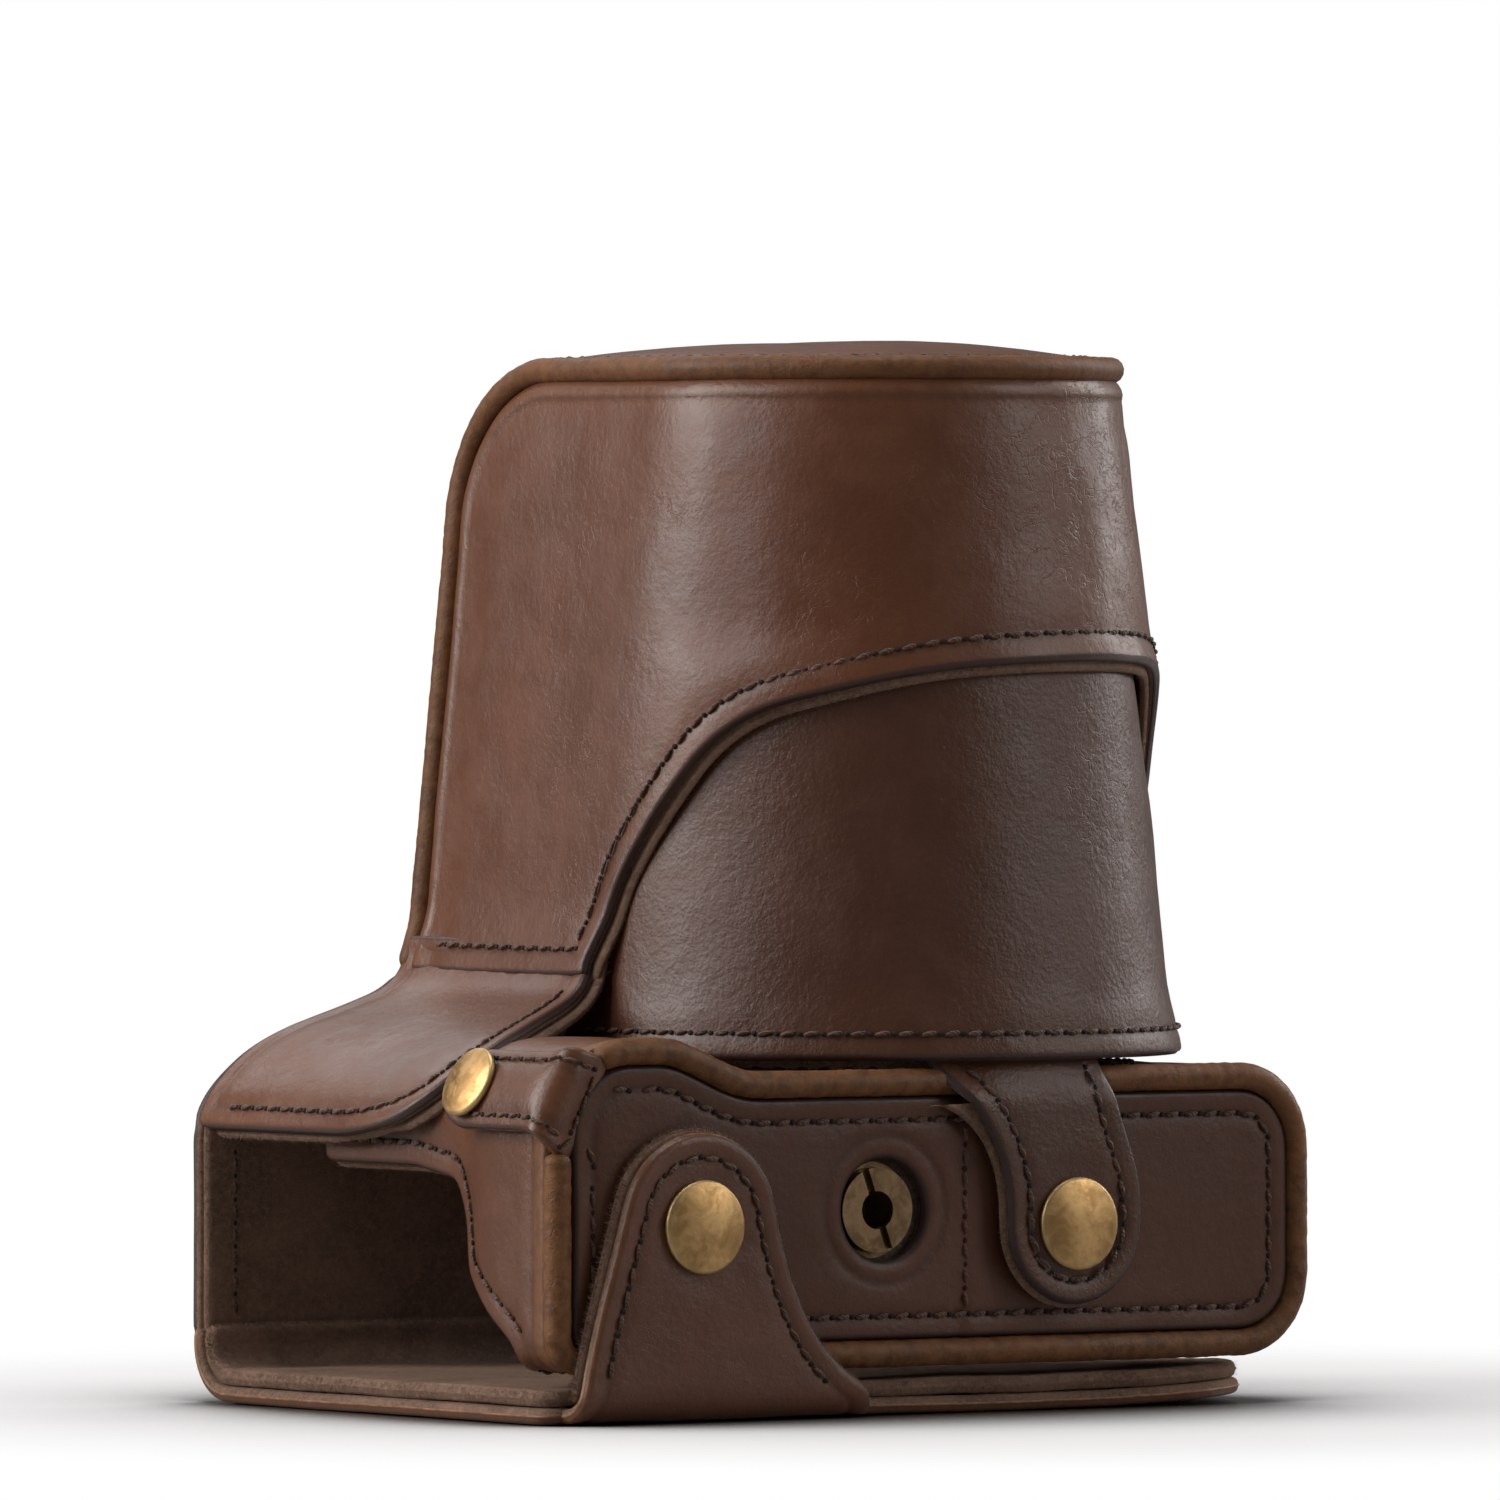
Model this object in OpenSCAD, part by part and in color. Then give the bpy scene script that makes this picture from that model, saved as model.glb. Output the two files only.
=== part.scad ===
// Leather ever ready case for a small camera with a long lens, lying on its rear panel.
// +Z is the lens axis, -Y is the camera's base, -X is the grip end.
// The origin is on the lens axis, at the level of the surface the case rests on.

/* [Bottom half] */
// Distance from the lens axis to the grip end
grip_x = 77.6; // [76:0.2:79]
// Distance from the lens axis to the far end
far_x = 46.3; // [45.5:0.1:48]
// Distance from the lens axis to the outer face of the base leather
face_y = 39; // [38.8:0.1:39.4]
// How far the front arms reach past the lens axis
arm_y = 22; // [18:1:28]
// Height of the rear edge above the rest plane
tray_z0 = 6.6; // [6:0.1:7]
// Height of the front face above the rest plane
tray_z1 = 45.8; // [45:0.1:46]
// Radius of the two far corners
far_r = 11; // [8:0.5:13]
// Extra height of the bulge over the camera's grip
grip_bulge = 4.8; // [3:0.2:5.2]
// Radius of the lens cut-out in the front face
lens_cut_r = 33.5; // [31:0.5:34]

/* [Sheets] */
// Thickness of the outer leather
leather = 2; // [1.8:0.1:2.2]
// Thickness of the suede lining
suede = 1.2; // [1:0.1:1.3]
// Thickness of the stiff board under the base
board = 2; // [1.5:0.1:2.2]

/* [Cover] */
// Distance from the lens axis to the outer face of the top panel
cover_y = 47.2; // [46.5:0.1:48]
// Distance from the lens axis to the cover's edge at the grip end
cover_x = 78.6; // [78.4:0.1:79.4]
// Distance from the lens axis to the far edge of the cover
cover_far_x = 44; // [42:0.5:45]
// Outer radius of the bend between rear panel and top panel
cover_bend_r = 8; // [6:0.5:9]
// Height of the hood's hem and of its fold on the top panel
hood_z = 37.5; // [37:0.1:38]
// Slope of the hood's top, in degrees
hood_slope = 20; // [18:0.5:20]
// Outer radius of the hood's shoulder
shoulder_r = 9; // [8:0.5:10]

/* [Nose] */
// Height of the piped rim of the nose
nose_z = 139.5; // [130:0.5:150]
// Half width of the nose at the piped rim
nose_r = 35.2; // [34.5:0.1:36]
// How much the nose widens for each millimetre down
nose_taper = 0.108; // [0.1:0.002:0.112]
// Height of the seam where nose meets hood
seam_z = 58; // [57.5:0.5:59]
// Height of the arched hem at the front
arch_z = 101; // [90:1:108]
// Rise of the crowned end
crown = 2.8; // [1.5:0.1:3.5]
// Radius between the spine and the end
spine_r = 20; // [14:1:24]

/* [Snaps and screw] */
// Diameter of the two large snap caps
cap_d = 12.6; // [11:0.1:14]
// Diameter of the small snap cap on the grip strap
small_cap_d = 10; // [9:0.1:10.6]
// Diameter of the tripod screw's slotted head
screw_head_d = 11.4; // [10.6:0.1:11.6]
// Bore of the tripod screw, tapping size of a 1/4 inch tripod thread
screw_bore_d = 5.1; // [4.9:0.05:5.2]
// Outside diameter of the 1/4 inch thread that enters the camera
screw_pin_d = 6.35; // [6.2:0.05:6.4]

/* [Hidden] */
$fn = 72;
big = 400;

// Sheets that overlap the base, measured outwards from the lens axis
over_in = face_y + 0.7;
over_mid = over_in + 1;
over_out = over_mid + leather;
panel_in = face_y - leather;
board_out = panel_in - 0.2;
board_in = board_out - board;

// Grip end: a bulge over the grip, then a large round corner
grip_corner_r = 12.5;
grip_top = tray_z1 + grip_bulge;
grip_cx = -grip_x + grip_corner_r;
grip_cz = grip_top - grip_corner_r;
arm_x = -73.6;
arm_z = tray_z1 - 2.2;
bulge_x0 = -44;
bulge_x1 = -60;
heel_r = 5;

// Snap and screw places on the base
tongue_snap_x = -55.9;
tongue_snap_z = 25.8;
tongue_foot_x0 = -74.6;
tongue_foot_x1 = -29;
tongue_bend_r = 4;
tab_snap_x = 5.2;
tab_snap_z = 25;
screw_x = -24.9;
screw_z = 27.3;
flap_axis_x = -15.25;

// Grip strap, lying on the round grip corner
strap_tilt = 153.6;
strap_in_r = grip_corner_r + 0.4;
strap_out_r = strap_in_r + leather;
strap_snap_y = -21;

function smooth(t) = let (u = min(1, max(0, t))) u * u * (3 - 2 * u);
function mix(a, b, t) = a + (b - a) * t;
function bezier(a, b, c, d, n) = [
  for (i = [0:n]) let (t = i / n, s = 1 - t)
    s * s * s * a + 3 * s * s * t * b + 3 * s * t * t * c + t * t * t * d
];
function arc_points(cx, cy, r, a0, a1, n) = [
  for (i = [0:n]) let (a = mix(a0, a1, i / n)) [cx + r * cos(a), cy + r * sin(a)]
];

// Extrudes an outline drawn in X and Z from y0 to y1
module along_y(y0, y1) {
  translate([0, y1, 0])
    rotate([90, 0, 0])
      linear_extrude(height = y1 - y0)
        children();
}

// Extrudes an outline drawn in Y and Z from x0 to x1
module along_x(x0, x1) {
  translate([x0, 0, 0])
    rotate([90, 0, 90])
      linear_extrude(height = x1 - x0)
        children();
}

// A round disc or pin on the base, axis along -Y, between two outward distances
module base_disc(x, z, d, from_y, to_y) {
  translate([x, -from_y, z])
    rotate([90, 0, 0])
      cylinder(d = d, h = to_y - from_y);
}

// ---- bottom half ----

function bulge(x) = grip_bulge * smooth((bulge_x0 - x) / (bulge_x0 - bulge_x1));

// Outline of the bottom half in X and Z, moved inwards by d
module tray_outline(d = 0) {
  x0 = -grip_x + d;
  x1 = far_x - d;
  z0 = tray_z0 + d;
  top = [
    for (i = [0:16]) let (x = mix(bulge_x0, bulge_x1, i / 16)) [x, tray_z1 + bulge(x) - d]
  ];
  polygon(concat(
    [[bulge_x0, z0 + 10]],
    top,
    arc_points(grip_cx, grip_cz, grip_corner_r - d, 90, 180, 12),
    [[x0, z0 + heel_r], [bulge_x0, z0 + heel_r]]
  ));
  translate([bulge_x0 - 20, z0])
    square([x1 - bulge_x0 + 20 - far_r + d, tray_z1 - tray_z0 - 2 * d - 4]);
  translate([bulge_x0 - 1, z0])
    square([x1 - bulge_x0 + 1 - far_r + d, tray_z1 - tray_z0 - 2 * d]);
  translate([x0 + heel_r - d, z0])
    square([20, 20]);
  translate([x0 + heel_r - d, z0 + heel_r - d])
    circle(r = heel_r - d);
  for (z = [tray_z0 + far_r, tray_z1 - far_r])
    translate([far_x - far_r, z])
      circle(r = far_r - d);
  translate([far_x - far_r - 1, tray_z0 + far_r])
    square([far_r + 1 - d, tray_z1 - tray_z0 - 2 * far_r]);
}

// What the bottom half keeps of a closed tube: arms, lens cut-out and open rear
module tray_cuts(d) {
  // The bulge and the grip end step in where the hood lies over them
  along_x(-big, -42)
    polygon(concat(
      [[big, big], [-16, big]],
      bezier([-16, grip_top + 1], [-11.5, grip_top], [-13, arm_z - d], [-9, arm_z - d], 12),
      [[big, arm_z - d]]
    ));
  translate([0, 0, -1])
    linear_extrude(height = big)
      polygon([
        [-big, -24], [-grip_x + d, -24], [arm_x + d, -9], [arm_x + d, big], [-big, big]
      ]);
}

// Openings through every layer of the bottom half
module tray_windows() {
  // Lens cut-out, open towards the top
  translate([0, 0, 25])
    cylinder(r = lens_cut_r, h = 40, $fn = 96);
  translate([-lens_cut_r, 0, 25])
    cube([2 * lens_cut_r, big, 40]);
  // Open rear, with a lip left along the base
  translate([-grip_x + 12, -23, 0])
    cube([grip_x + far_x - 24, big, 20]);
  // Open grip end under the front arm
  along_x(-big, -60)
    polygon(concat(
      [[big, 33.2], [0, 33.2]],
      bezier([0, 33.2], [-14, 33.2], [-13, 27], [-15, 19], 10),
      bezier([-15, 19], [-17, 12], [-28, 11], [-31, 5], 10),
      [[big, 5]]
    ));
  // Far end cut away behind
  along_x(far_x - 14, big)
    polygon([[-23, 0], [-8, 24], [arm_y - 8, 34], [big, 34], [big, 0]]);
}

module tray_layer(outer, inner, y0, y1) {
  difference() {
    along_y(y0, y1)
      difference() {
        tray_outline(outer);
        tray_outline(inner);
      }
    tray_cuts(outer);
    tray_windows();
  }
}

// The stepped-in stretch keeps its own walls, so the arms stay whole under the hood
module arm_outline(d, z0) {
  polygon(concat(
    [[arm_x + d, z0]],
    arc_points(arm_x + 5, arm_z - 5, 5 - d, 180, 90, 6),
    [[-54, arm_z - d], [-42, tray_z1 - d], [-40, tray_z1 - d], [-40, z0]]
  ));
}

module arm_layer(outer, inner) {
  difference() {
    intersection() {
      along_y(-9, arm_y)
        difference() {
          arm_outline(outer, 20);
          arm_outline(inner, 19);
        }
      translate([-big, -big, 33.2])
        cube(big * 2);
    }
    tray_windows();
  }
}

module tray_shell() {
  color("#5a3a28")
    difference() {
      union() {
        tray_layer(0, leather, -panel_in + 0.2, arm_y);
        arm_layer(0, leather);
      }
      // Seat of the stud's shank
      strap_frame()
        translate([grip_corner_r - 5, 0, 0])
          rotate([0, 90, 0])
            cylinder(d = 2.4, h = 10, $fn = 32);
    }
}

module tray_lining() {
  color("#6f6354")
    union() {
      tray_layer(leather + 0.02, leather + suede, -board_in + 0.1, arm_y - 0.6);
      arm_layer(leather + 0.02, leather + suede);
    }
}

module tray_welt() {
  color("#8a5c36")
    difference() {
      along_y(-face_y - 0.4, -panel_in + 0.2)
        difference() {
          tray_outline(0);
          tray_outline(2.4);
        }
      // Gap where the grip strap crosses the rim
      translate([-grip_x - 1, -big / 2, 36.8])
        cube([11.4, big, 20]);
    }
}

module base_board() {
  color("#4a4038")
    difference() {
      along_y(-board_out, -board_in)
        tray_outline(leather + 0.1);
      base_disc(screw_x, screw_z, 13, 0, face_y + 5);
      // Access to the camera's battery door
      translate([-70, -face_y, 14])
        cube([34, 20, 24]);
    }
}

module base_lining() {
  color("#6f6354")
    difference() {
      along_y(-board_in + 0.02, -board_in + suede)
        tray_outline(leather + suede + 0.2);
      base_disc(screw_x, screw_z, 13, 0, face_y + 5);
      translate([-70, -face_y, 14])
        cube([34, 20, 24]);
      base_disc(tab_snap_x, tab_snap_z, 7, 0, face_y);
    }
}

// The leather of the base lies inside the rim
module base_leather(x0, x1, y0, y1) {
  intersection() {
    along_y(y0, y1)
      tray_outline(3.1);
    translate([x0, -big / 2, 0])
      cube([x1 - x0, big, big]);
  }
}

module base_panel() {
  color("#553625")
    difference() {
      base_leather(flap_axis_x + 0.15, far_x, -face_y, -panel_in);
      base_disc(tab_snap_x, tab_snap_z, 2.4, 0, face_y + 5);
    }
}

module screw_eyelet() {
  color("#8c7443")
    difference() {
      union() {
        base_disc(screw_x, screw_z, 12.96, board_in, board_out);
        base_disc(screw_x, screw_z, 10.96, board_in - suede, board_in);
      }
      base_disc(screw_x, screw_z, 9.5, 0, face_y + 5);
    }
}

// ---- snaps ----

// A stud on the base: a shank through the leather and a low head
module base_stud(x, z, inner_y) {
  color("#b08d4c")
    union() {
      base_disc(x, z, 2.36, inner_y, face_y);
      base_disc(x, z, 4.4, face_y, face_y + 0.9);
    }
}

// A cap: a domed disc and its shank, revolved about Z with the leather's face at z = 0
module cap_shape(d, shank_d, shank) {
  dome_r = 2.7 * d;
  edge_a = acos(d / 2 / dome_r);
  rotate_extrude($fn = 96)
    polygon(concat(
      [[0, -shank], [shank_d / 2, -shank], [shank_d / 2, 0], [d / 2, 0]],
      arc_points(0, 0.6 - dome_r * sin(edge_a), dome_r, edge_a, 90, 8)
    ));
}

module base_cap(x, z) {
  color("#b08d4c")
    translate([x, -over_out, z])
      rotate([90, 0, 0])
        cap_shape(cap_d, 3.96, leather + 0.3);
}

// A socket ring in the hole of the lining, round the cap's shank
module base_socket(x, z) {
  color("#b08d4c")
    difference() {
      base_disc(x, z, 9, over_in + 0.45, over_mid);
      base_disc(x, z, 5, 0, face_y + 5);
    }
}

module tab_stud() { base_stud(tab_snap_x, tab_snap_z, panel_in); }
module tab_cap() { base_cap(tab_snap_x, tab_snap_z); }
module tab_socket() { base_socket(tab_snap_x, tab_snap_z); }
module tongue_stud() { base_stud(tongue_snap_x, tongue_snap_z, panel_in + 0.6); }
module tongue_cap() { base_cap(tongue_snap_x, tongue_snap_z); }
module tongue_socket() { base_socket(tongue_snap_x, tongue_snap_z); }

// ---- battery flap and grip strap ----

// Band of the flap that runs out to the grip corner and carries the strap
module strap_band() {
  intersection() {
    tray_outline(0);
    translate([-grip_x, 37.4])
      square([10, 11.2]);
  }
}

module flap_outline(x1) {
  difference() {
    union() {
      intersection() {
        tray_outline(3.1);
        translate([-grip_x, 0])
          square([grip_x + x1, big]);
      }
      strap_band();
    }
    translate([screw_x + 0.7, screw_z])
      circle(d = 13.6);
  }
}

module battery_flap() {
  color("#553625")
    difference() {
      along_y(-face_y, -panel_in - 0.6)
        flap_outline(flap_axis_x - 0.15);
      base_disc(tongue_snap_x, tongue_snap_z, 2.4, 0, face_y + 5);
    }
}

module battery_flap_lining() {
  color("#6f6354")
    difference() {
      along_y(-panel_in - 0.58, -panel_in)
        flap_outline(flap_axis_x - 0.15);
      base_disc(tongue_snap_x, tongue_snap_z, 2.4, 0, face_y + 5);
    }
}

// Frame of the grip strap: X outwards from the round corner, Y along the strap
module strap_frame() {
  translate([grip_cx, strap_snap_y, grip_cz])
    rotate([0, -strap_tilt, 0])
      children();
}

module grip_strap() {
  length = strap_snap_y + face_y - 0.3;
  half = 6;
  color("#553625")
    strap_frame()
      difference() {
        intersection() {
          translate([0, -length, 0])
            rotate([-90, 0, 0])
              difference() {
                cylinder(r = strap_out_r, h = length + half, $fn = 96);
                translate([0, 0, -1])
                  cylinder(r = strap_in_r, h = length + half + 2, $fn = 96);
              }
          rotate([0, 90, 0])
            union() {
              cylinder(r = half, h = 30);
              translate([-half, -length, 0])
                cube([2 * half, length, 30]);
            }
        }
        // Recess for the stud, and the cap's shank hole
        rotate([0, 90, 0])
          cylinder(d = 8.8, h = strap_in_r + 0.9);
        rotate([0, 90, 0])
          cylinder(d = 3, h = 30, $fn = 32);
      }
}

module strap_stud() {
  color("#b08d4c")
    strap_frame()
      rotate([0, 90, 0])
        union() {
          translate([0, 0, grip_corner_r - leather])
            cylinder(d = 2.36, h = leather);
          translate([0, 0, grip_corner_r])
            cylinder(d = 3.2, h = 0.7);
        }
}

module strap_socket() {
  color("#b08d4c")
    strap_frame()
      rotate([0, 90, 0])
        translate([0, 0, strap_in_r + 0.5])
          difference() {
            cylinder(d = 8.4, h = 0.38);
            translate([0, 0, -1])
              cylinder(d = 4, h = 3);
          }
}

module strap_cap() {
  color("#b08d4c")
    strap_frame()
      rotate([0, 90, 0])
        translate([0, 0, strap_out_r + 0.02])
          cap_shape(small_cap_d, 2.96, leather - 0.9);
}

module tripod_screw() {
  head_out = face_y - 0.3;
  color("#8f7a4c")
    difference() {
      union() {
        base_disc(screw_x, screw_z, screw_head_d, board_out + 0.05, head_out);
        base_disc(screw_x, screw_z, 9.36, board_in - suede, board_out + 0.05);
        base_disc(screw_x, screw_z, screw_pin_d, board_in - suede - 5, board_in - suede);
      }
      base_disc(screw_x, screw_z, screw_bore_d, head_out - 6.5, face_y + 5);
      // Coin slot
      translate([screw_x, -head_out, screw_z])
        rotate([0, -20, 0])
          cube([1.1, 2, 30], center = true);
    }
}

// ---- rear panel and tongue ----

// The cover folds at points on its outer face, half way round each bend
module fold_band(inner, outer) {
  difference() {
    circle(r = cover_bend_r - outer);
    circle(r = cover_bend_r - inner);
  }
}

// The bend from rear panel to tongue in Y and Z, kept inside the sector given as a child
module tongue_bend(inner, outer) {
  translate([-over_out + tongue_bend_r, tongue_bend_r])
    intersection() {
      difference() {
        circle(r = tongue_bend_r - outer);
        circle(r = tongue_bend_r - inner);
      }
      children();
    }
}

// Cross-section in Y and Z of the rear panel, between two depths from its outer face
module rear_section(inner, outer) {
  by = cover_y - cover_bend_r;
  translate([-over_out + tongue_bend_r, outer])
    square([by + over_out - tongue_bend_r, inner - outer]);
  intersection() {
    translate([by, cover_bend_r])
      fold_band(inner, outer);
    translate([by, cover_bend_r])
      polygon([[0, 0], [0, -20], [19.6, -20]]);
  }
}

module rear_plan() {
  r = 18;
  front_y = -over_out + tongue_bend_r;
  linear_extrude(height = 40, center = true)
    union() {
      translate([-cover_x, front_y])
        square([cover_x + cover_far_x - r, cover_y - front_y]);
      translate([cover_far_x - r - 1, front_y + r])
        square([r + 1, cover_y - front_y - r]);
      translate([cover_far_x - r, front_y + r])
        circle(r = r, $fn = 96);
    }
}

module rear_panel() {
  color("#5a3a28")
    union() {
      intersection() {
        along_x(-cover_x, cover_far_x)
          rear_section(2.2, 0);
        rear_plan();
      }
      along_x(tongue_foot_x0, tongue_foot_x1)
        tongue_bend(1.98, 0)
          polygon([[0, 0], [-19.6, -20], [0, -20]]);
    }
}

module rear_panel_lining() {
  color("#6f6354")
    intersection() {
      along_x(-cover_x + 0.4, cover_far_x - 0.4)
        rear_section(3.9, 2.25);
      rear_plan();
    }
}

// Outline of the tongue in X and Z, with concave feet
module tongue_outline(d = 0) {
  r = 12.4 - d;
  cx = tongue_snap_x;
  cz = tongue_snap_z;
  polygon(concat(
    bezier([tongue_foot_x0 + d, tongue_bend_r], [-72.6 + d, 13],
      [cx - r - 2.6, cz - 8], [cx - r * 0.94, cz + r * 0.34], 12),
    arc_points(cx, cz, r, 160, 20, 20),
    bezier([cx + r * 0.94, cz + r * 0.34], [cx + r + 1.4, cz - 8], [-38.5 - d, 9],
      [tongue_foot_x1 - d, tongue_bend_r], 14)
  ));
}

module rear_tongue() {
  color("#5a3a28")
    difference() {
      union() {
        along_y(-over_out, -over_mid - 0.02)
          tongue_outline();
        along_x(tongue_foot_x0, tongue_foot_x1)
          tongue_bend(1.98, 0)
            polygon([[0, 0], [-20, 0], [-20, -19.6]]);
      }
      base_disc(tongue_snap_x, tongue_snap_z, 4, 0, face_y + 10);
    }
}

module rear_tongue_lining() {
  color("#6f6354")
    difference() {
      along_y(-over_mid, -over_in)
        tongue_outline(0.3);
      base_disc(tongue_snap_x, tongue_snap_z, 11.6, 0, face_y + 10);
    }
}

// ---- top panel ----

module top_section(inner, outer) {
  by = cover_y - cover_bend_r;
  translate([cover_y - inner, cover_bend_r])
    square([inner - outer, hood_z - 0.2 - cover_bend_r]);
  intersection() {
    translate([by, cover_bend_r])
      fold_band(inner, outer);
    translate([by, cover_bend_r])
      polygon([[0, 0], [20, -19.6], [20, 0]]);
  }
}

module top_panel() {
  color("#5a3a28")
    along_x(-cover_x, cover_far_x)
      top_section(2.2, 0);
}

module top_panel_lining() {
  color("#6f6354")
    along_x(-cover_x + 0.4, cover_far_x - 0.4)
      top_section(3.4, 2.25);
}

// ---- hood ----

// Outline of the hood in X and Z, moved inwards by d
module hood_outline(d = 0) {
  a = 90 + hood_slope;
  cx = -cover_x + shoulder_r;
  cz = hood_z + 2.7;
  top_x = cx + (shoulder_r - d) * cos(a);
  top_z = cz + (shoulder_r - d) * sin(a);
  run = -nose_half(seam_z) + 1 - top_x;
  end_z = top_z + run * tan(hood_slope);
  polygon(concat(
    [[-cover_x + d, hood_z]],
    arc_points(cx, cz, shoulder_r - d, 180, a, 12),
    [[top_x + run, end_z], [nose_half(seam_z) - 4, end_z]],
    arc_points(cover_far_x + 2.2 - 7, end_z - 7, 7 - d, 60, 0, 8),
    [[cover_far_x + 2.2 - d, hood_z]]
  ));
}

// Everything the hood's hem leaves away
module hood_cuts() {
  // Hem at the grip end, rising towards the nose
  along_x(-big, 0)
    polygon(concat(
      [[12, hood_z]],
      bezier([12, hood_z], [2, hood_z + 0.4], [-6.5, hood_z + 2.5], [-8.5, hood_z + 8], 14),
      [[-8.5, big], [-big, big], [-big, 0], [12, 0]]
    ));
  // Hem at the far end, kept above the bottom half
  along_x(0, big)
    polygon(concat(
      [[arm_y + 20, hood_z]],
      bezier([arm_y + 20, hood_z], [arm_y + 8, hood_z], [arm_y + 10, tray_z1 + 3],
        [arm_y + 2, tray_z1 + 3], 14),
      [[4, big], [-big, big], [-big, 0], [arm_y + 20, 0]]
    ));
  // Edge across the top, running in to the nose
  translate([0, 0, hood_z + 8])
    linear_extrude(height = big)
      polygon(concat(
        [[-big, -8.5], [-70, -8.5]],
        bezier([-70, -8.5], [-62, -8], [-54, -3], [-40, 4], 10),
        [[-40, -big], [-big, -big]]
      ));
}

module hood_layer(outer, inner) {
  difference() {
    along_y(-12, cover_y - outer)
      difference() {
        hood_outline(outer);
        square(1);
      }
    along_y(-13, cover_y - inner)
      union() {
        hood_outline(inner);
        translate([-cover_x + inner, hood_z - 1])
          square([cover_x + cover_far_x + 2.2 - 2 * inner, 3]);
      }
    nose_body(2.6, 1, 30);
    hood_cuts();
  }
}

module hood() {
  color("#5f3e2a")
    difference() {
      hood_layer(0, leather);
      nose_body(1.3, -1, seam_z);
    }
}

module hood_lining() {
  color("#6f6354")
    difference() {
      hood_layer(leather + 0.02, leather + suede);
      nose_body(1.3, -1, seam_z);
    }
}

// ---- nose ----

function nose_half(z) = nose_r + nose_taper * (nose_z - z);

// Round front and straight sides of the nose, widened by w, above z0
module nose_plan(w, z0) {
  z1 = nose_z + crown + 1;
  r0 = nose_half(z0) + w;
  r1 = nose_half(z1) + w;
  translate([0, 0, z0])
    cylinder(r1 = r0, r2 = r1, h = z1 - z0, $fn = 120);
  along_y(0, cover_y + 5)
    polygon([[-r0, z0], [r0, z0], [r1, z1], [-r1, z1]]);
}

// Side profile of the nose in Y and Z, moved inwards by d: flat spine, round corner, end
module nose_profile(d) {
  top = nose_z + crown - d;
  back = cover_y - d;
  r = spine_r - d;
  polygon(concat(
    [[-80, 0], [back, 0]],
    arc_points(back - r, top - r, r, 0, 90, 16),
    [[-80, top]]
  ));
}

// Half of the crowned end's outline, from its edge to the lens axis, moved down by d
function crown_points(d) = let (
  half = nose_r + 14,
  crown_r = (nose_r * nose_r + crown * crown) / (2 * crown)
) [
  for (i = [0:10]) let (x = half * (1 - i / 10))
    [x, nose_z + crown - d - crown_r + sqrt(crown_r * crown_r - x * x)]
];

// Everything under the crowned end: revolved in front, straight behind the lens axis
module nose_crown(d) {
  half = nose_r + 14;
  rotate_extrude($fn = 120)
    polygon(concat([[0, 0], [half, 0]], crown_points(d)));
  for (side = [0, 1])
    mirror([side, 0, 0])
      along_y(0, 90)
        polygon(concat([[0, 0], [half, 0]], crown_points(d)));
}

// Solid body of the nose: widened by w, its spine and end moved in by d, above z0
module nose_body(w, d, z0) {
  intersection() {
    nose_plan(w, z0);
    along_x(-90, 90)
      nose_profile(d);
    nose_crown(d);
  }
}

// Arched hem: everything under the arch on the base side
module arch_cut(rise = 0) {
  half = nose_half(seam_z);
  along_y(-big, 3)
    polygon(concat(
      [[-half - 20, 0]],
      [[-half - 20, seam_z + rise]],
      [for (i = [0:32]) let (a = 180 - 180 * i / 32, c = cos(a), s = sin(a))
        [(c < 0 ? -1 : 1) * (half - 0.1) * pow(abs(c), 0.5),
          seam_z + rise + (arch_z - seam_z) * s]],
      [[half + 20, seam_z + rise], [half + 20, 0]]
    ));
}

module nose_wrap() {
  color("#5f3e2a")
    difference() {
      nose_body(0, 2.22, seam_z + 0.02);
      nose_body(-1.6, -5, 30);
      arch_cut();
      translate([-90, cover_y - 2.22, 0])
        cube(200);
    }
}

module nose_lining() {
  color("#6f6354")
    difference() {
      nose_body(-1.62, 2.3, seam_z + 0.4);
      nose_body(-2.4, 3.3, 30);
      arch_cut(0.4);
    }
}

module nose_spine() {
  color("#5f3e2a")
    difference() {
      nose_body(0, 0, seam_z + 0.02);
      nose_body(4, 2.2, 30);
    }
}

module nose_piping() {
  color("#8a5c36")
    difference() {
      nose_body(1.2, 0.9, seam_z + 0.02);
      nose_body(4, 3.3, 30);
      nose_body(0.02, -5, 30);
      translate([-90, cover_y - 0.9, 0])
        cube(200);
    }
}

// ---- lens skirt and its tab ----

skirt_z0 = 47.4;
skirt_z1 = 112;
skirt_r0 = 42.7;
skirt_r1 = 35.3;

module skirt_layer(outer, inner, z0) {
  r0 = mix(skirt_r0, skirt_r1, (z0 - skirt_z0) / (skirt_z1 - skirt_z0));
  rotate([0, 0, 160])
    rotate_extrude(angle = 220, $fn = 120)
      polygon([
        [r0 - inner, z0], [r0 - outer, z0],
        [skirt_r1 - outer, skirt_z1], [skirt_r1 - inner, skirt_z1]
      ]);
}

module lens_skirt() {
  color("#553625")
    skirt_layer(0, 1.6, skirt_z0);
}

module lens_skirt_lining() {
  color("#6f6354")
    skirt_layer(1.62, 2.4, skirt_z0 + 0.4);
}

// Outline of the front tab in X and Z: a neck that leans towards a round head
module tab_outline(d = 0) {
  r = 10.8 - d;
  top = skirt_z0 - 1;
  polygon(concat(
    bezier([-16 + d, top], [-11.2 + d, 41], [-5 + d, 37], [tab_snap_x - r, tab_snap_z + 1], 12),
    arc_points(tab_snap_x, tab_snap_z, r, 180, 355, 24),
    bezier([tab_snap_x + r, tab_snap_z + 1], [tab_snap_x + r + 0.3 - d, 35],
      [10.6 - d, 38], [11 - d, top], 12)
  ));
}

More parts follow.
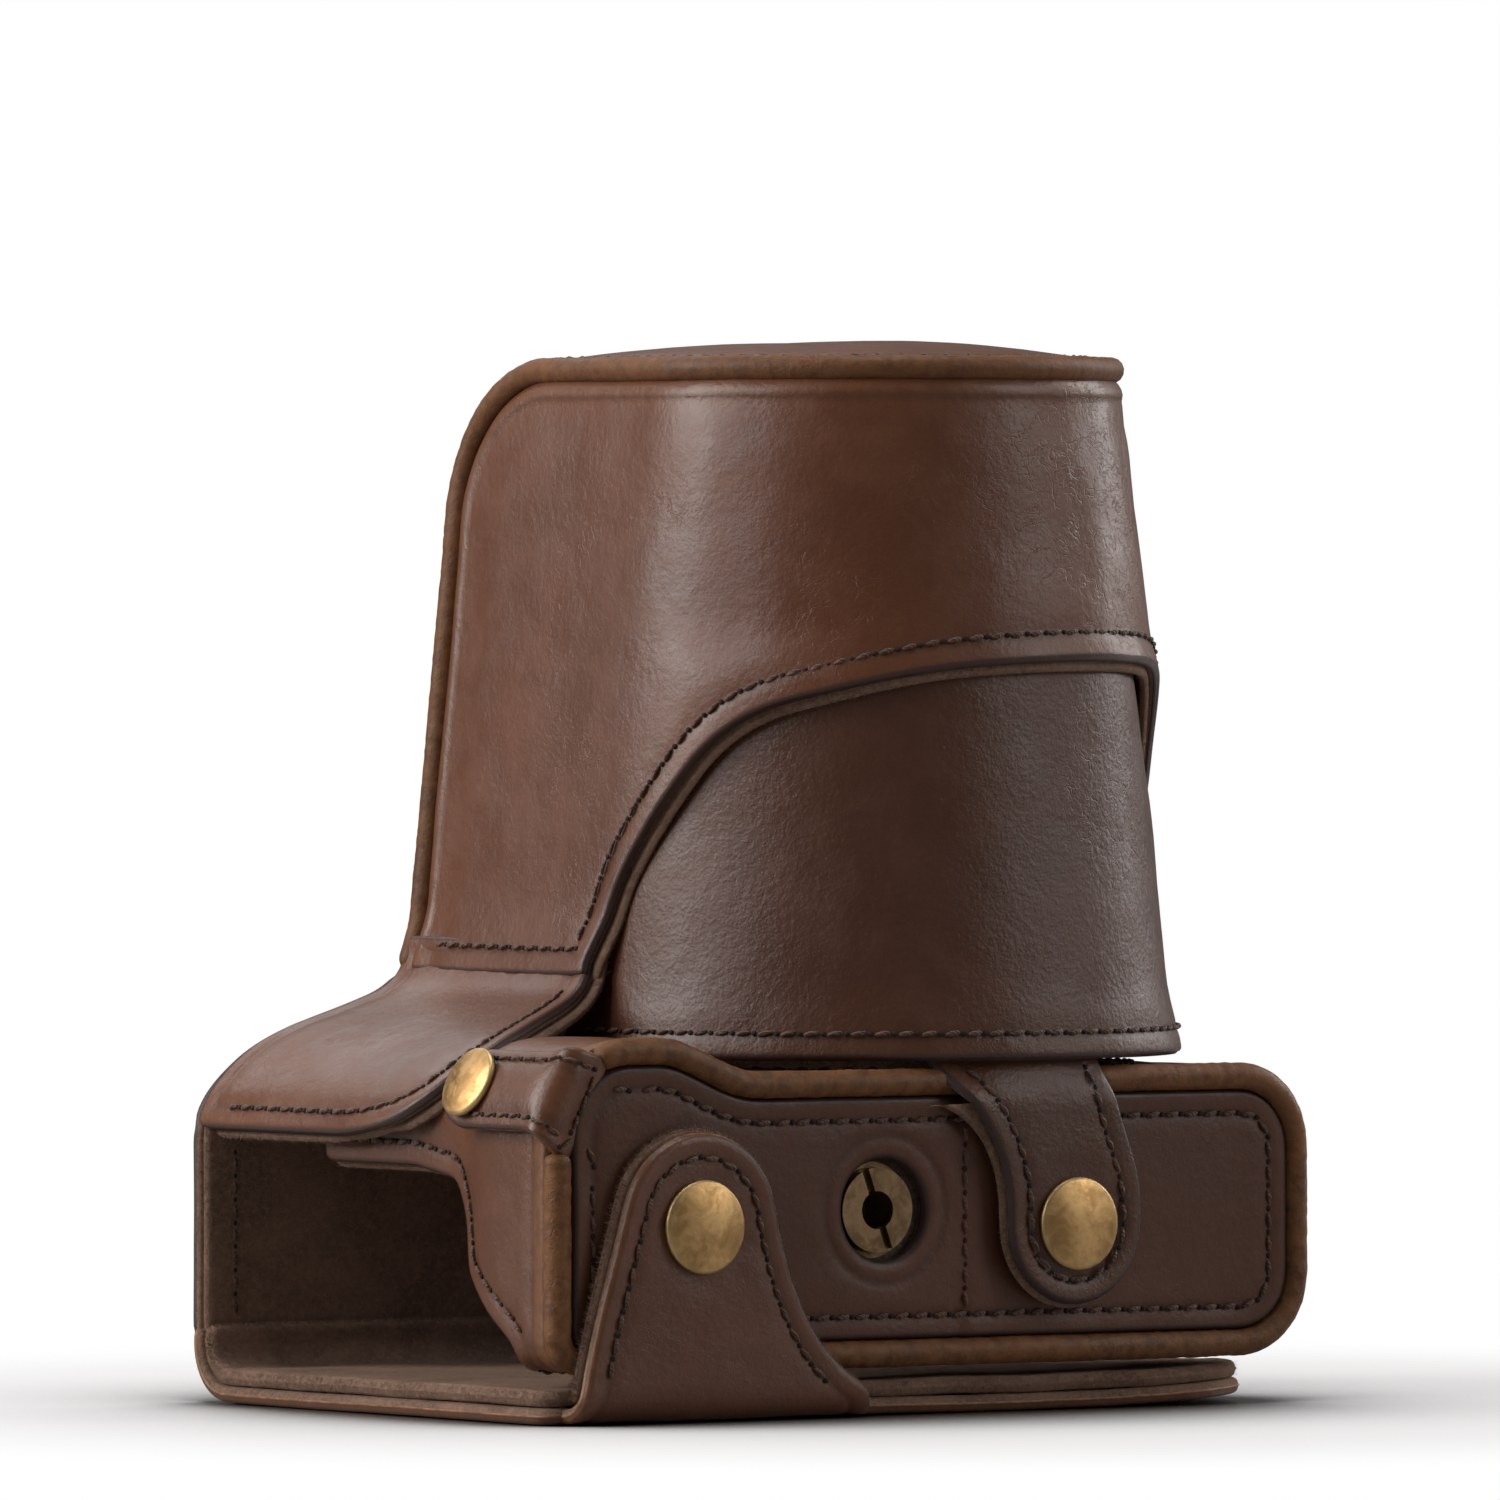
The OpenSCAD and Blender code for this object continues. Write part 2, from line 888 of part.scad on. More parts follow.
module front_tab() {
  color("#553625")
    difference() {
      along_y(-over_out, -over_mid - 0.02)
        tab_outline();
      base_disc(tab_snap_x, tab_snap_z, 4, 0, face_y + 10);
    }
}

module front_tab_lining() {
  color("#6f6354")
    difference() {
      along_y(-over_mid, -over_in)
        tab_outline(0.3);
      base_disc(tab_snap_x, tab_snap_z, 11.6, 0, face_y + 10);
    }
}

tray_shell();
tray_lining();
tray_welt();
base_board();
base_lining();
base_panel();
screw_eyelet();
tab_stud();
strap_stud();
top_panel();
top_panel_lining();
rear_panel();
rear_panel_lining();
rear_tongue();
rear_tongue_lining();
tongue_cap();
tongue_socket();
battery_flap();
battery_flap_lining();
tongue_stud();
grip_strap();
strap_cap();
strap_socket();
tripod_screw();
hood();
hood_lining();
nose_wrap();
nose_lining();
nose_spine();
nose_piping();
lens_skirt();
lens_skirt_lining();
front_tab();
front_tab_lining();
tab_cap();
tab_socket();
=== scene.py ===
import math
import random

import bpy
import numpy as np
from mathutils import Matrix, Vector, noise
from mathutils.geometry import delaunay_2d_cdt


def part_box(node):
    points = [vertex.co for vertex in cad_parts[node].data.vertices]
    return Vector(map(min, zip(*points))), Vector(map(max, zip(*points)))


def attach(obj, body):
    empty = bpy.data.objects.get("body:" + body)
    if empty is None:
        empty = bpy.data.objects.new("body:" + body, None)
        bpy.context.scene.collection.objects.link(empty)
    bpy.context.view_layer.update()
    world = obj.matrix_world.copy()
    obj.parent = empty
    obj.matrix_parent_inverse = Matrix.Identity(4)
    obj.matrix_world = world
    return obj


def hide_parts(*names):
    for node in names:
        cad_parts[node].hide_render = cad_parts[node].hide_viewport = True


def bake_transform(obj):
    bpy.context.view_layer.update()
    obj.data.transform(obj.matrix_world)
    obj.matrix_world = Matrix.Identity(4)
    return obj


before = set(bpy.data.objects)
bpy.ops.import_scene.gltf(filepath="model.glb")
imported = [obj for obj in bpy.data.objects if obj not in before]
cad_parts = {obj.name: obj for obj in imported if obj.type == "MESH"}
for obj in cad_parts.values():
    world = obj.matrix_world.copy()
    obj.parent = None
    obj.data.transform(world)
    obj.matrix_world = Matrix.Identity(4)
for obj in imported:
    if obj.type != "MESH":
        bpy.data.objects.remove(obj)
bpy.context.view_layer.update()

# Lengths below are millimetres in the case's own frame; objects are written in metres.
MM = 0.001
PI = math.pi


def node_box(name):
    lo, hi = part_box(name)
    return np.array(lo) / MM, np.array(hi) / MM


# ---------------------------------------------------------------- dimensions from the frame

tray_lo, tray_hi = node_box("tray_shell")
top_lo, top_hi = node_box("top_panel")
tongue_lo, tongue_hi = node_box("rear_tongue")


def centre(name):
    lo, hi = node_box(name)
    return (lo + hi) / 2


# Bottom half: ends, base face, rear and front edges, the grip end's bulge and corners
GRIP_X = -tray_lo[0]
FAR_X = tray_hi[0]
FACE_Y = -node_box("base_panel")[0][1]
TRAY_Z0 = tray_lo[2]
TRAY_Z1 = 45.8
BULGE = 4.8
FAR_R = 11.0
CORNER_R = 12.5
CORNER = (-GRIP_X + CORNER_R, TRAY_Z1 + BULGE - CORNER_R)
# Side arms under the hood, and the cut-out for the lens
ARM_X = -73.6
ARM_Y = 22.0
ARM_Z = TRAY_Z1 - 2.2
LENS_CUT_R = 33.5
# Rear cover: ends, back face and bend
COVER_X = -top_lo[0]
COVER_FAR = top_hi[0]
COVER_Y = top_hi[1]
BEND_R = 8.0
# Nose cover: hood's hem, skirt's hem, crowned end, taper and spine
HOOD_Z = 37.5
SKIRT_LOW = node_box("lens_skirt")[0][2]
RIM_Z = node_box("nose_spine")[1][2] - 2.8 + 0.6
NOSE_R = 35.2
TAPER = 0.108
NOSE_TOP = 139.5
CROWN = 3.0
SPINE_R = 20.0
# Outer face of the tongue and tab, and the middles of the snaps and screw in X and Z
OVER_OUT = -tongue_lo[1]
TONGUE_SNAP = centre("tongue_cap")[[0, 2]]
TAB_SNAP = centre("tab_cap")[[0, 2]]
SCREW = centre("tripod_screw")[[0, 2]]
# Radius that unrolls the nose's front, and half the length of the unrolled front
UNROLL = 40.0
FRONT = UNROLL * PI / 2


# ---------------------------------------------------------------- curves


def arc(cx, cz, r, a0, a1, n):
    t = np.radians(np.linspace(a0, a1, n + 1))
    return np.stack([cx + r * np.cos(t), cz + r * np.sin(t)], 1)


def bezier(p0, p1, p2, p3, n=14):
    t = np.linspace(0, 1, n + 1)[:, None]
    p0, p1, p2, p3 = (np.array(p, float) for p in (p0, p1, p2, p3))
    return (1 - t) ** 3 * p0 + 3 * t * (1 - t) ** 2 * p1 + 3 * t * t * (1 - t) * p2 + t ** 3 * p3


def spline(points, step=0.5):
    """Smooth curve through the points."""
    p = np.array(points, float)
    p = np.vstack([2 * p[0] - p[1], p, 2 * p[-1] - p[-2]])
    out = []
    for i in range(1, len(p) - 2):
        n = max(2, int(np.linalg.norm(p[i + 1] - p[i]) / step))
        t = np.linspace(0, 1, n, endpoint=False)[:, None]
        a, b, c, d = p[i - 1], p[i], p[i + 1], p[i + 2]
        out.append(0.5 * (2 * b + (c - a) * t + (2 * a - 5 * b + 4 * c - d) * t * t
                          + (3 * b - a - 3 * c + d) * t ** 3))
    return np.vstack(out + [p[-2:-1]])


def lengths(p):
    return np.concatenate([[0], np.cumsum(np.linalg.norm(np.diff(p, axis=0), axis=1))])


def resample(p, step, closed=False):
    p = np.array(p, float)
    if closed:
        p = np.vstack([p, p[:1]])
    s = lengths(p)
    n = max(4, int(round(s[-1] / step)))
    t = np.linspace(0, s[-1], n + 1)
    if closed:
        t = t[:-1]
    return np.stack([np.interp(t, s, p[:, i]) for i in range(p.shape[1])], 1)


def soften(loop, step=1.0, rounds=2):
    """Closed outline resampled, with its corners rounded."""
    p = resample(loop, step, True)
    for _ in range(rounds):
        p = 0.25 * np.roll(p, 1, 0) + 0.5 * p + 0.25 * np.roll(p, -1, 0)
    return p


def signed_area(p):
    q = np.roll(p, -1, 0)
    return 0.5 * np.sum(p[:, 0] * q[:, 1] - q[:, 0] * p[:, 1])


def inward(p):
    """Unit normals of a closed outline, pointing to its inside."""
    t = np.roll(p, -1, 0) - np.roll(p, 1, 0)
    n = np.stack([-t[:, 1], t[:, 0]], 1) * (1 if signed_area(p) > 0 else -1)
    return n / np.maximum(np.linalg.norm(n, axis=1), 1e-9)[:, None]


def distance(points, loops):
    """Distance of each point to the nearest outline."""
    a = np.vstack(loops)
    b = np.vstack([np.roll(p, -1, 0) for p in loops])
    d = b - a
    dd = np.maximum((d * d).sum(1), 1e-12)
    out = np.empty(len(points))
    for i in range(0, len(points), 1500):
        q = points[i:i + 1500, None, :]
        t = np.clip(((q - a) * d).sum(2) / dd, 0, 1)
        out[i:i + 1500] = np.sqrt((((a + t[..., None] * d) - q) ** 2).sum(2).min(1))
    return out


def inside(points, loops):
    hit = np.zeros(len(points), bool)
    for p in loops:
        q = np.roll(p, -1, 0)
        for (ax, ay), (bx, by) in zip(p, q):
            if ay == by:
                continue
            c = (ay > points[:, 1]) != (by > points[:, 1])
            hit ^= c & (points[:, 0] < (bx - ax) * (points[:, 1] - ay) / (by - ay) + ax)
    return hit


def smoothstep(x, a, b):
    t = np.clip((x - a) / (b - a), 0, 1)
    return t * t * (3 - 2 * t)


def wave(u, v, size, seed):
    """Soft random undulation between -1 and 1."""
    return np.array([noise.noise(Vector((a / size, b / size, seed * 7.3))) for a, b in zip(u, v)])


# ---------------------------------------------------------------- mesh building

# Material slots of every sewn piece
# The last slot holds the painted shade in the needle holes
OUTER, EDGED, INNER, SEWN, NEEDLE_SHADE = range(5)


class Build:
    """Collects vertices and faces with two marks per vertex: distance to the edge, and wear."""

    def __init__(self):
        self.v, self.f, self.m, self.e, self.w = [], [], [], [], []
        self.n = 0

    def add(self, verts, faces, mat=0, edge=None, wear=None):
        k = len(verts)
        self.v.append(np.asarray(verts, float))
        self.e.append(np.full(k, 10.0) if edge is None else np.asarray(edge, float))
        self.w.append(np.zeros(k) if wear is None else np.asarray(wear, float))
        self.f += [tuple(i + self.n for i in f) for f in faces]
        self.m += [mat] * len(faces) if np.isscalar(mat) else list(mat)
        self.n += k

    def make(self, name, mats, body, replaces=(), blend=None):
        me = bpy.data.meshes.new(name)
        v = np.vstack(self.v)
        me.from_pydata((v * MM).tolist(), [], self.f)
        for m in mats:
            me.materials.append(m)
        me.polygons.foreach_set("material_index", np.array(self.m, np.int32))
        me.polygons.foreach_set("use_smooth", np.ones(len(self.f), bool))
        for key, vals in (("edge", np.concatenate(self.e)), ("wear", np.concatenate(self.w))):
            mark = me.attributes.new(key, "FLOAT", "POINT")
            mark.data.foreach_set("value", vals.astype(np.float32))
        at = me.attributes.new("place", "FLOAT_VECTOR", "POINT")
        at.data.foreach_set("vector", v.astype(np.float32).ravel())
        me.update()
        ob = bpy.data.objects.new(name, me)
        bpy.context.scene.collection.objects.link(ob)
        if blend:
            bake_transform(ob)
        else:
            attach(ob, body)
        if replaces:
            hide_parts(*replaces)


def lifted(base, u, v, h):
    """Points on a surface given by base(u, v), moved out along its normal by h."""
    e = 0.05
    p = base(u, v)
    du = base(u + e, v) - base(u - e, v)
    dv = base(u, v + e) - base(u, v - e)
    n = np.cross(du, dv)
    n /= np.maximum(np.linalg.norm(n, axis=1), 1e-9)[:, None]
    return p + n * np.asarray(h)[:, None] * base.side


def surface(side):
    """Marks a surface function with the side of u cross v on which its outer face lies."""
    def mark(f):
        f.side = side
        return f
    return mark


# Distances from the edge of a leather piece at which its mesh gets rows of points
RINGS = (0.12, 0.35, 0.7, 1.2, 1.9, 2.6, 3.1, 3.6, 4.3)


def sheet(acc, base, loops, thick, lift=0.0, grid=2.4, groove=3.1, dip=0.22, edge_r=0.65,
          swell=0.12, size=22.0, seed=1, rings=RINGS, wear=None, relief=None):
    """A sheet of leather or suede: loops are its closed outlines, the first one outside.

    Groove and dip are the sunk seam line's inset and depth, edge_r rounds the cut edge, swell and
    size give the soft undulation, and relief(u, v) adds to the height.
    """
    rng = np.random.default_rng(seed)
    cand, need = [], []
    for ring in rings:
        for p in loops:
            inn = inward(p) * (1 if p is loops[0] else -1)
            cand.append(p + inn * ring)
            need.append(np.full(len(p), ring - 0.04))
    lo, hi = loops[0].min(0), loops[0].max(0)
    gx, gy = np.meshgrid(np.arange(lo[0], hi[0], grid), np.arange(lo[1], hi[1], grid * 0.87))
    gx = gx + (np.arange(gx.shape[0]) % 2)[:, None] * grid / 2
    lat = np.stack([gx.ravel(), gy.ravel()], 1) + rng.uniform(-0.1, 0.1, (gx.size, 2)) * grid
    cand.append(lat)
    need.append(np.full(len(lat), rings[-1] + grid * 0.4))
    cand, need = np.vstack(cand), np.concatenate(need)
    keep = inside(cand, loops)
    cand, need = cand[keep], need[keep]
    cand = cand[distance(cand, loops) >= need]
    pts, edges, k = [], [], 0
    for p in loops:
        edges += [(k + i, k + (i + 1) % len(p)) for i in range(len(p))]
        pts.append(p)
        k += len(p)
    allp = np.vstack(pts + [cand])
    res = delaunay_2d_cdt([Vector(q) for q in allp], edges, [], 0, 1e-5, False)
    uv = np.array([tuple(q) for q in res[0]])
    tri = np.array([f for f in res[2] if len(f) == 3])
    cen = uv[tri].mean(1)
    tri = tri[inside(cen, loops)]
    a, b, c = uv[tri[:, 0]], uv[tri[:, 1]], uv[tri[:, 2]]
    ccw = np.cross(b - a, c - a) > 0
    tri[~ccw] = tri[~ccw][:, ::-1]
    used = np.unique(tri)
    remap = -np.ones(len(uv), int)
    remap[used] = np.arange(len(used))
    uv, tri = uv[used], remap[tri]
    d = distance(uv, loops)
    u, v = uv[:, 0], uv[:, 1]
    und = swell * wave(u, v, size, seed) + 0.25 * swell * wave(u, v, size / 4, seed + 5)
    if relief is not None:
        und = und + relief(u, v)
    cut = lambda r: r * (1 - np.sqrt(np.clip(1 - (1 - np.clip(d / r, 0, 1)) ** 2, 0, 1)))
    top = -cut(edge_r) + und + lift
    if groove:
        top -= dip * np.exp(-((d - groove) / 0.75) ** 2)
    in_r = min(edge_r, thick - edge_r - 0.1)
    low = -thick + cut(max(in_r, 0.1)) + und + lift
    # Boundary edges appear once among the triangles
    seen = {}
    for t in tri:
        for i in range(3):
            x, y = t[i], t[(i + 1) % 3]
            seen[(x, y)] = 1
    rim = [(x, y) for (x, y) in seen if (y, x) not in seen]
    nrm = np.zeros((len(uv), 2))
    for x, y in rim:
        t = uv[y] - uv[x]
        n = np.array([t[1], -t[0]]) / max(np.linalg.norm(t), 1e-9)
        nrm[x] += n
        nrm[y] += n
    nrm /= np.maximum(np.linalg.norm(nrm, axis=1), 1e-9)[:, None]
    P = lifted(base, u, v, top)
    Q = lifted(base, u, v, low)
    ids = sorted({i for e in rim for i in e})
    ridx = {i: k for k, i in enumerate(ids)}
    ru, rv = u[ids] + nrm[ids, 0] * 0.18, v[ids] + nrm[ids, 1] * 0.18
    mid = (top[ids] + low[ids]) / 2
    R = lifted(base, ru, rv, mid)
    wv = np.zeros(len(u)) if wear is None else wear(u, v, d)
    n0 = len(P)
    flip = base.side < 0
    F = [tuple(t) if not flip else tuple(t[::-1]) for t in tri]
    B = [tuple(i + n0 for i in t[::-1]) if not flip else tuple(i + n0 for i in t) for t in tri]
    S = []
    for x, y in rim:
        rx, ry = 2 * n0 + ridx[x], 2 * n0 + ridx[y]
        q1, q2 = (y, x, rx, ry), (ry, rx, x + n0, y + n0)
        S += [q1, q2] if not flip else [q1[::-1], q2[::-1]]
    acc.add(np.vstack([P, Q, R]), F + B + S,
            [OUTER] * len(F) + [INNER] * len(B) + [EDGED] * len(S),
            np.concatenate([d, d, np.zeros(len(ids))]), np.concatenate([wv, wv, wv[ids]]))


def frames_along(base, uv, lift):
    """Points lifted off the surface, and the outward direction at each."""
    p = lifted(base, uv[:, 0], uv[:, 1], np.full(len(uv), lift))
    q = lifted(base, uv[:, 0], uv[:, 1], np.full(len(uv), lift + 1.0))
    return p, q - p


def ellipsoid(rows, cols):
    """A unit ball with its poles on the X axis."""
    v = [(0, 0, 1)]
    for i in range(1, rows):
        a = PI * i / rows
        v += [(math.sin(a) * math.cos(2 * PI * j / cols), math.sin(a) * math.sin(2 * PI * j / cols),
               math.cos(a)) for j in range(cols)]
    v.append((0, 0, -1))
    f = [(0, 1 + j, 1 + (j + 1) % cols) for j in range(cols)]
    for i in range(rows - 2):
        o = 1 + i * cols
        f += [(o + j, o + cols + j, o + cols + (j + 1) % cols, o + (j + 1) % cols)
              for j in range(cols)]
    o = 1 + (rows - 2) * cols
    f += [(o + j, len(v) - 1, o + (j + 1) % cols) for j in range(cols)]
    return np.array(v)[:, [2, 0, 1]], f


BALL_V, BALL_F = ellipsoid(4, 8)
STITCH_TILT = 9


def stitches(acc, base, runs, lift, seed, pitch=3.2, width=0.36):
    """Lock stitches along runs of (u, v) points lying on a surface, with a dark blob after each that is painted
    shade standing for the needle hole.
    """
    rng = random.Random(seed)
    for run in runs:
        run = resample(run, 0.4)
        p, n = frames_along(base, run, lift)
        s = lengths(p)
        count = int(s[-1] / pitch)
        if count < 1:
            continue
        start = (s[-1] - count * pitch) / 2
        for k in range(count):
            c = start + (k + 0.5) * pitch
            at = lambda x: np.array([np.interp(x, s, p[:, i]) for i in range(3)])
            m = at(c)
            t = at(min(c + 0.6, s[-1])) - at(max(c - 0.6, 0))
            t /= np.linalg.norm(t)
            i = min(len(n) - 1, int(np.searchsorted(s, c)))
            nn = n[i] / np.linalg.norm(n[i])
            b = np.cross(nn, t)
            a = math.radians(STITCH_TILT + rng.uniform(-3, 3))
            tt = t * math.cos(a) + b * math.sin(a)
            bb = np.cross(nn, tt)
            half = pitch * rng.uniform(0.35, 0.39)
            # Arched grain: ends sink into their holes
            x, y, z = BALL_V.T
            pos = m + np.outer(x * half, tt) + np.outer(y * width, bb) \
                + np.outer(z * width * 0.8 + 0.06 - 0.28 * x * x, nn)
            acc.add(pos, BALL_F, SEWN)
            # Needle hole: a small dark blob sunk below the surface, painted shade
            end = m + t * pitch * 0.5 - nn * 0.12
            pos = end + np.outer(x * 0.42, t) + np.outer(y * 0.36, b) + np.outer(z * 0.2, nn)
            acc.add(pos, BALL_F, NEEDLE_SHADE)


RUN_BREAK = 2.5


def inset_runs(loop, inset, keep=None, others=()):
    """The outline moved inwards, cut into runs where keep(u, v) holds."""
    p = loop + inward(loop) * inset
    ok = distance(p, [loop] + list(others)) > inset - 0.06
    if keep is not None:
        ok &= keep(p[:, 0], p[:, 1])
    if not ok.any():
        return []
    if ok.all():
        return [np.vstack([p, p[:1]])]
    first = int(np.argmin(ok))
    p, ok = np.roll(p, -first, 0), np.roll(ok, -first)
    # Points dropped only because the offset folds at a sharp corner don't break the run
    runs, cur = [], []
    for q, good in zip(p, ok):
        if good and cur and np.linalg.norm(q - cur[-1]) > RUN_BREAK:
            runs.append(np.array(cur))
            cur = []
        if good:
            cur.append(q)
    runs.append(np.array(cur))
    return [r for r in runs if len(r) > 3]


def fuzz(acc, base, loop, thick, lift, per_mm, length, seed):
    """Loose suede fibres standing out of a cut edge."""
    rng = np.random.default_rng(seed)
    ring = np.vstack([loop, loop[:1]])
    s = lengths(ring)
    n = int(s[-1] * per_mm)
    t = rng.uniform(0, s[-1], n)
    root = np.stack([np.interp(t, s, ring[:, i]) for i in range(2)], 1)
    out = -inward(loop)
    k = np.clip(np.searchsorted(s, t) - 1, 0, len(loop) - 1)
    o = out[k]
    side = np.stack([-o[:, 1], o[:, 0]], 1)
    h = lift - thick * rng.uniform(0.02, 0.98, n)
    L = length * rng.uniform(0.35, 1.0, n)
    drift = rng.normal(0, 0.45, n)
    r0 = root - o * 0.15
    tip = root + o * L[:, None] + side * (drift * L)[:, None]
    w = 0.05
    A = lifted(base, *(r0 + side * w).T, h)
    B = lifted(base, *(r0 - side * w).T, h)
    C = lifted(base, *tip.T, h + rng.normal(0, 0.35, n) * L)
    V = np.stack([A, B, C], 1).reshape(-1, 3)
    acc.add(V, [(3 * i, 3 * i + 1, 3 * i + 2) for i in range(n)], OUTER, np.zeros(3 * n))


def ring_faces(count, seg):
    """Quads between rings of seg points, with both ends closed."""
    quads = [(i * seg + k, i * seg + (k + 1) % seg, (i + 1) * seg + (k + 1) % seg, (i + 1) * seg + k)
             for i in range(count - 1) for k in range(seg)]
    return quads + [tuple(range(seg))[::-1], tuple((count - 1) * seg + k for k in range(seg))]


def tube(acc, path, radius, crease, seed, wear, seg=14):
    """A rolled leather cord with fine creases across it and rounded ends."""
    p = resample(path, 0.55)
    t = np.gradient(p, axis=0)
    t /= np.linalg.norm(t, axis=1)[:, None]
    n = np.zeros_like(p)
    ref = np.array([0.0, 1.0, 0.0]) if abs(t[0][1]) < 0.8 else np.array([1.0, 0, 0])
    cur = np.cross(t[0], ref)
    for i in range(len(p)):
        cur = cur - t[i] * cur.dot(t[i])
        cur /= np.linalg.norm(cur)
        n[i] = cur
    b = np.cross(t, n)
    s = lengths(p)
    a = 2 * PI * np.arange(seg) / seg
    rings = []
    for i in range(len(p)):
        fine = np.array([noise.noise(Vector((s[i] * 1.15, math.cos(x) * 0.5, math.sin(x) * 0.5 + seed)))
                         for x in a])
        slow = noise.noise(Vector((s[i] * 0.12, 3.1, seed)))
        r = radius * (1 + crease * fine + 0.04 * slow)
        end = min(s[i], s[-1] - s[i])
        if end < radius * 0.7:
            r = r * math.sqrt(max(0.02, 1 - (1 - end / (radius * 0.7)) ** 2))
        rings.append(p[i] + np.outer(r * np.cos(a), n[i]) + np.outer(r * np.sin(a), b[i]))
    acc.add(np.vstack(rings), ring_faces(len(p), seg), wear=np.full(len(p) * seg, wear))


def lathe(acc, profile, origin, axis, wear, seg=72):
    """Turns a profile of (radius, height) points about an axis; wear has a value per point."""
    ax = np.array(axis, float)
    ax /= np.linalg.norm(ax)
    x = np.cross(ax, [0.3, 0.2, 1.0])
    x /= np.linalg.norm(x)
    y = np.cross(ax, x)
    a = 2 * PI * np.arange(seg) / seg
    V = [np.array(origin) + ax * h + np.outer(r * np.cos(a), x) + np.outer(r * np.sin(a), y)
         for r, h in profile]
    acc.add(np.vstack(V), ring_faces(len(profile), seg), wear=np.repeat(wear, seg))


# ---------------------------------------------------------------- materials


class Nodes:
    """Small helper for building node trees."""

    def __init__(self, name):
        self.mat = bpy.data.materials.new(name)
        self.mat.use_nodes = True
        self.nt = self.mat.node_tree
        self.nt.nodes.clear()
        self.out = self.nt.nodes.new("ShaderNodeOutputMaterial")
        self.bsdf = self.nt.nodes.new("ShaderNodeBsdfPrincipled")
        self.nt.links.new(self.bsdf.outputs[0], self.out.inputs[0])

    def node(self, kind, **props):
        n = self.nt.nodes.new("ShaderNode" + kind)
        for k, v in props.items():
            setattr(n, k, v)
        return n

    def put(self, socket, value):
        if hasattr(value, "is_output") or hasattr(value, "links"):
            self.nt.links.new(value, socket)
        elif isinstance(value, (tuple, list)):
            alpha = (1.0,) if len(socket.default_value) > len(value) else ()
            socket.default_value = tuple(value) + alpha
        else:
            socket.default_value = value

    def place(self, made=True):
        """Position in millimetres: stored on built meshes, the object's own on frame pieces."""
        if made:
            return self.node("Attribute", attribute_name="place").outputs["Vector"]
        tc = self.node("TexCoord").outputs["Object"]
        m = self.node("VectorMath", operation="SCALE")
        self.put(m.inputs[0], tc)
        m.inputs["Scale"].default_value = 1 / MM
        return m.outputs[0]

    def value(self, name):
        return self.node("Attribute", attribute_name=name).outputs["Fac"]

    def stretch(self, vec, scale, shift=(0, 0, 0)):
        m = self.node("Mapping")
        self.put(m.inputs["Vector"], vec)
        m.inputs["Scale"].default_value = scale
        m.inputs["Location"].default_value = shift
        return m.outputs[0]

    def noise(self, vec, scale, detail=3.0, rough=0.55, distort=0.0):
        n = self.node("TexNoise")
        self.put(n.inputs["Vector"], vec)
        n.inputs["Scale"].default_value = scale
        n.inputs["Detail"].default_value = detail
        n.inputs["Roughness"].default_value = rough
        n.inputs["Distortion"].default_value = distort
        return n.outputs["Fac"]

    def cells(self, vec, scale, feature="F1"):
        n = self.node("TexVoronoi", feature=feature)
        self.put(n.inputs["Vector"], vec)
        n.inputs["Scale"].default_value = scale
        return n.outputs["Distance"]

    def span(self, x, a, b, to0=0.0, to1=1.0):
        n = self.node("MapRange", interpolation_type="SMOOTHSTEP")
        self.put(n.inputs["Value"], x)
        n.inputs["From Min"].default_value = a
        n.inputs["From Max"].default_value = b
        n.inputs["To Min"].default_value = to0
        n.inputs["To Max"].default_value = to1
        return n.outputs[0]

    def math(self, op, a, b=0.0, clamp=False):
        n = self.node("Math", operation=op, use_clamp=clamp)
        self.put(n.inputs[0], a)
        self.put(n.inputs[1], b)
        return n.outputs[0]

    def mix(self, fac, a, b):
        n = self.node("Mix", data_type="RGBA")
        self.put(n.inputs["Factor"], fac)
        self.put(n.inputs[6], a)
        self.put(n.inputs[7], b)
        return n.outputs[2]

    def bump(self, height, strength, dist, normal=None):
        n = self.node("Bump")
        n.inputs["Strength"].default_value = strength
        n.inputs["Distance"].default_value = dist * MM
        self.put(n.inputs["Height"], height)
        if normal is not None:
            self.put(n.inputs["Normal"], normal)
        return n.outputs[0]

    def set(self, **kw):
        for k, v in kw.items():
            self.put(self.bsdf.inputs[k.replace("_", " ")], v)
        return self.mat


def hexc(r, g, b):
    """Linear colour from display values 0-255."""
    f = lambda c: c / 12.92 if c <= 0.04045 else ((c + 0.055) / 1.055) ** 2.4
    return tuple(f(x / 255) for x in (r, g, b))


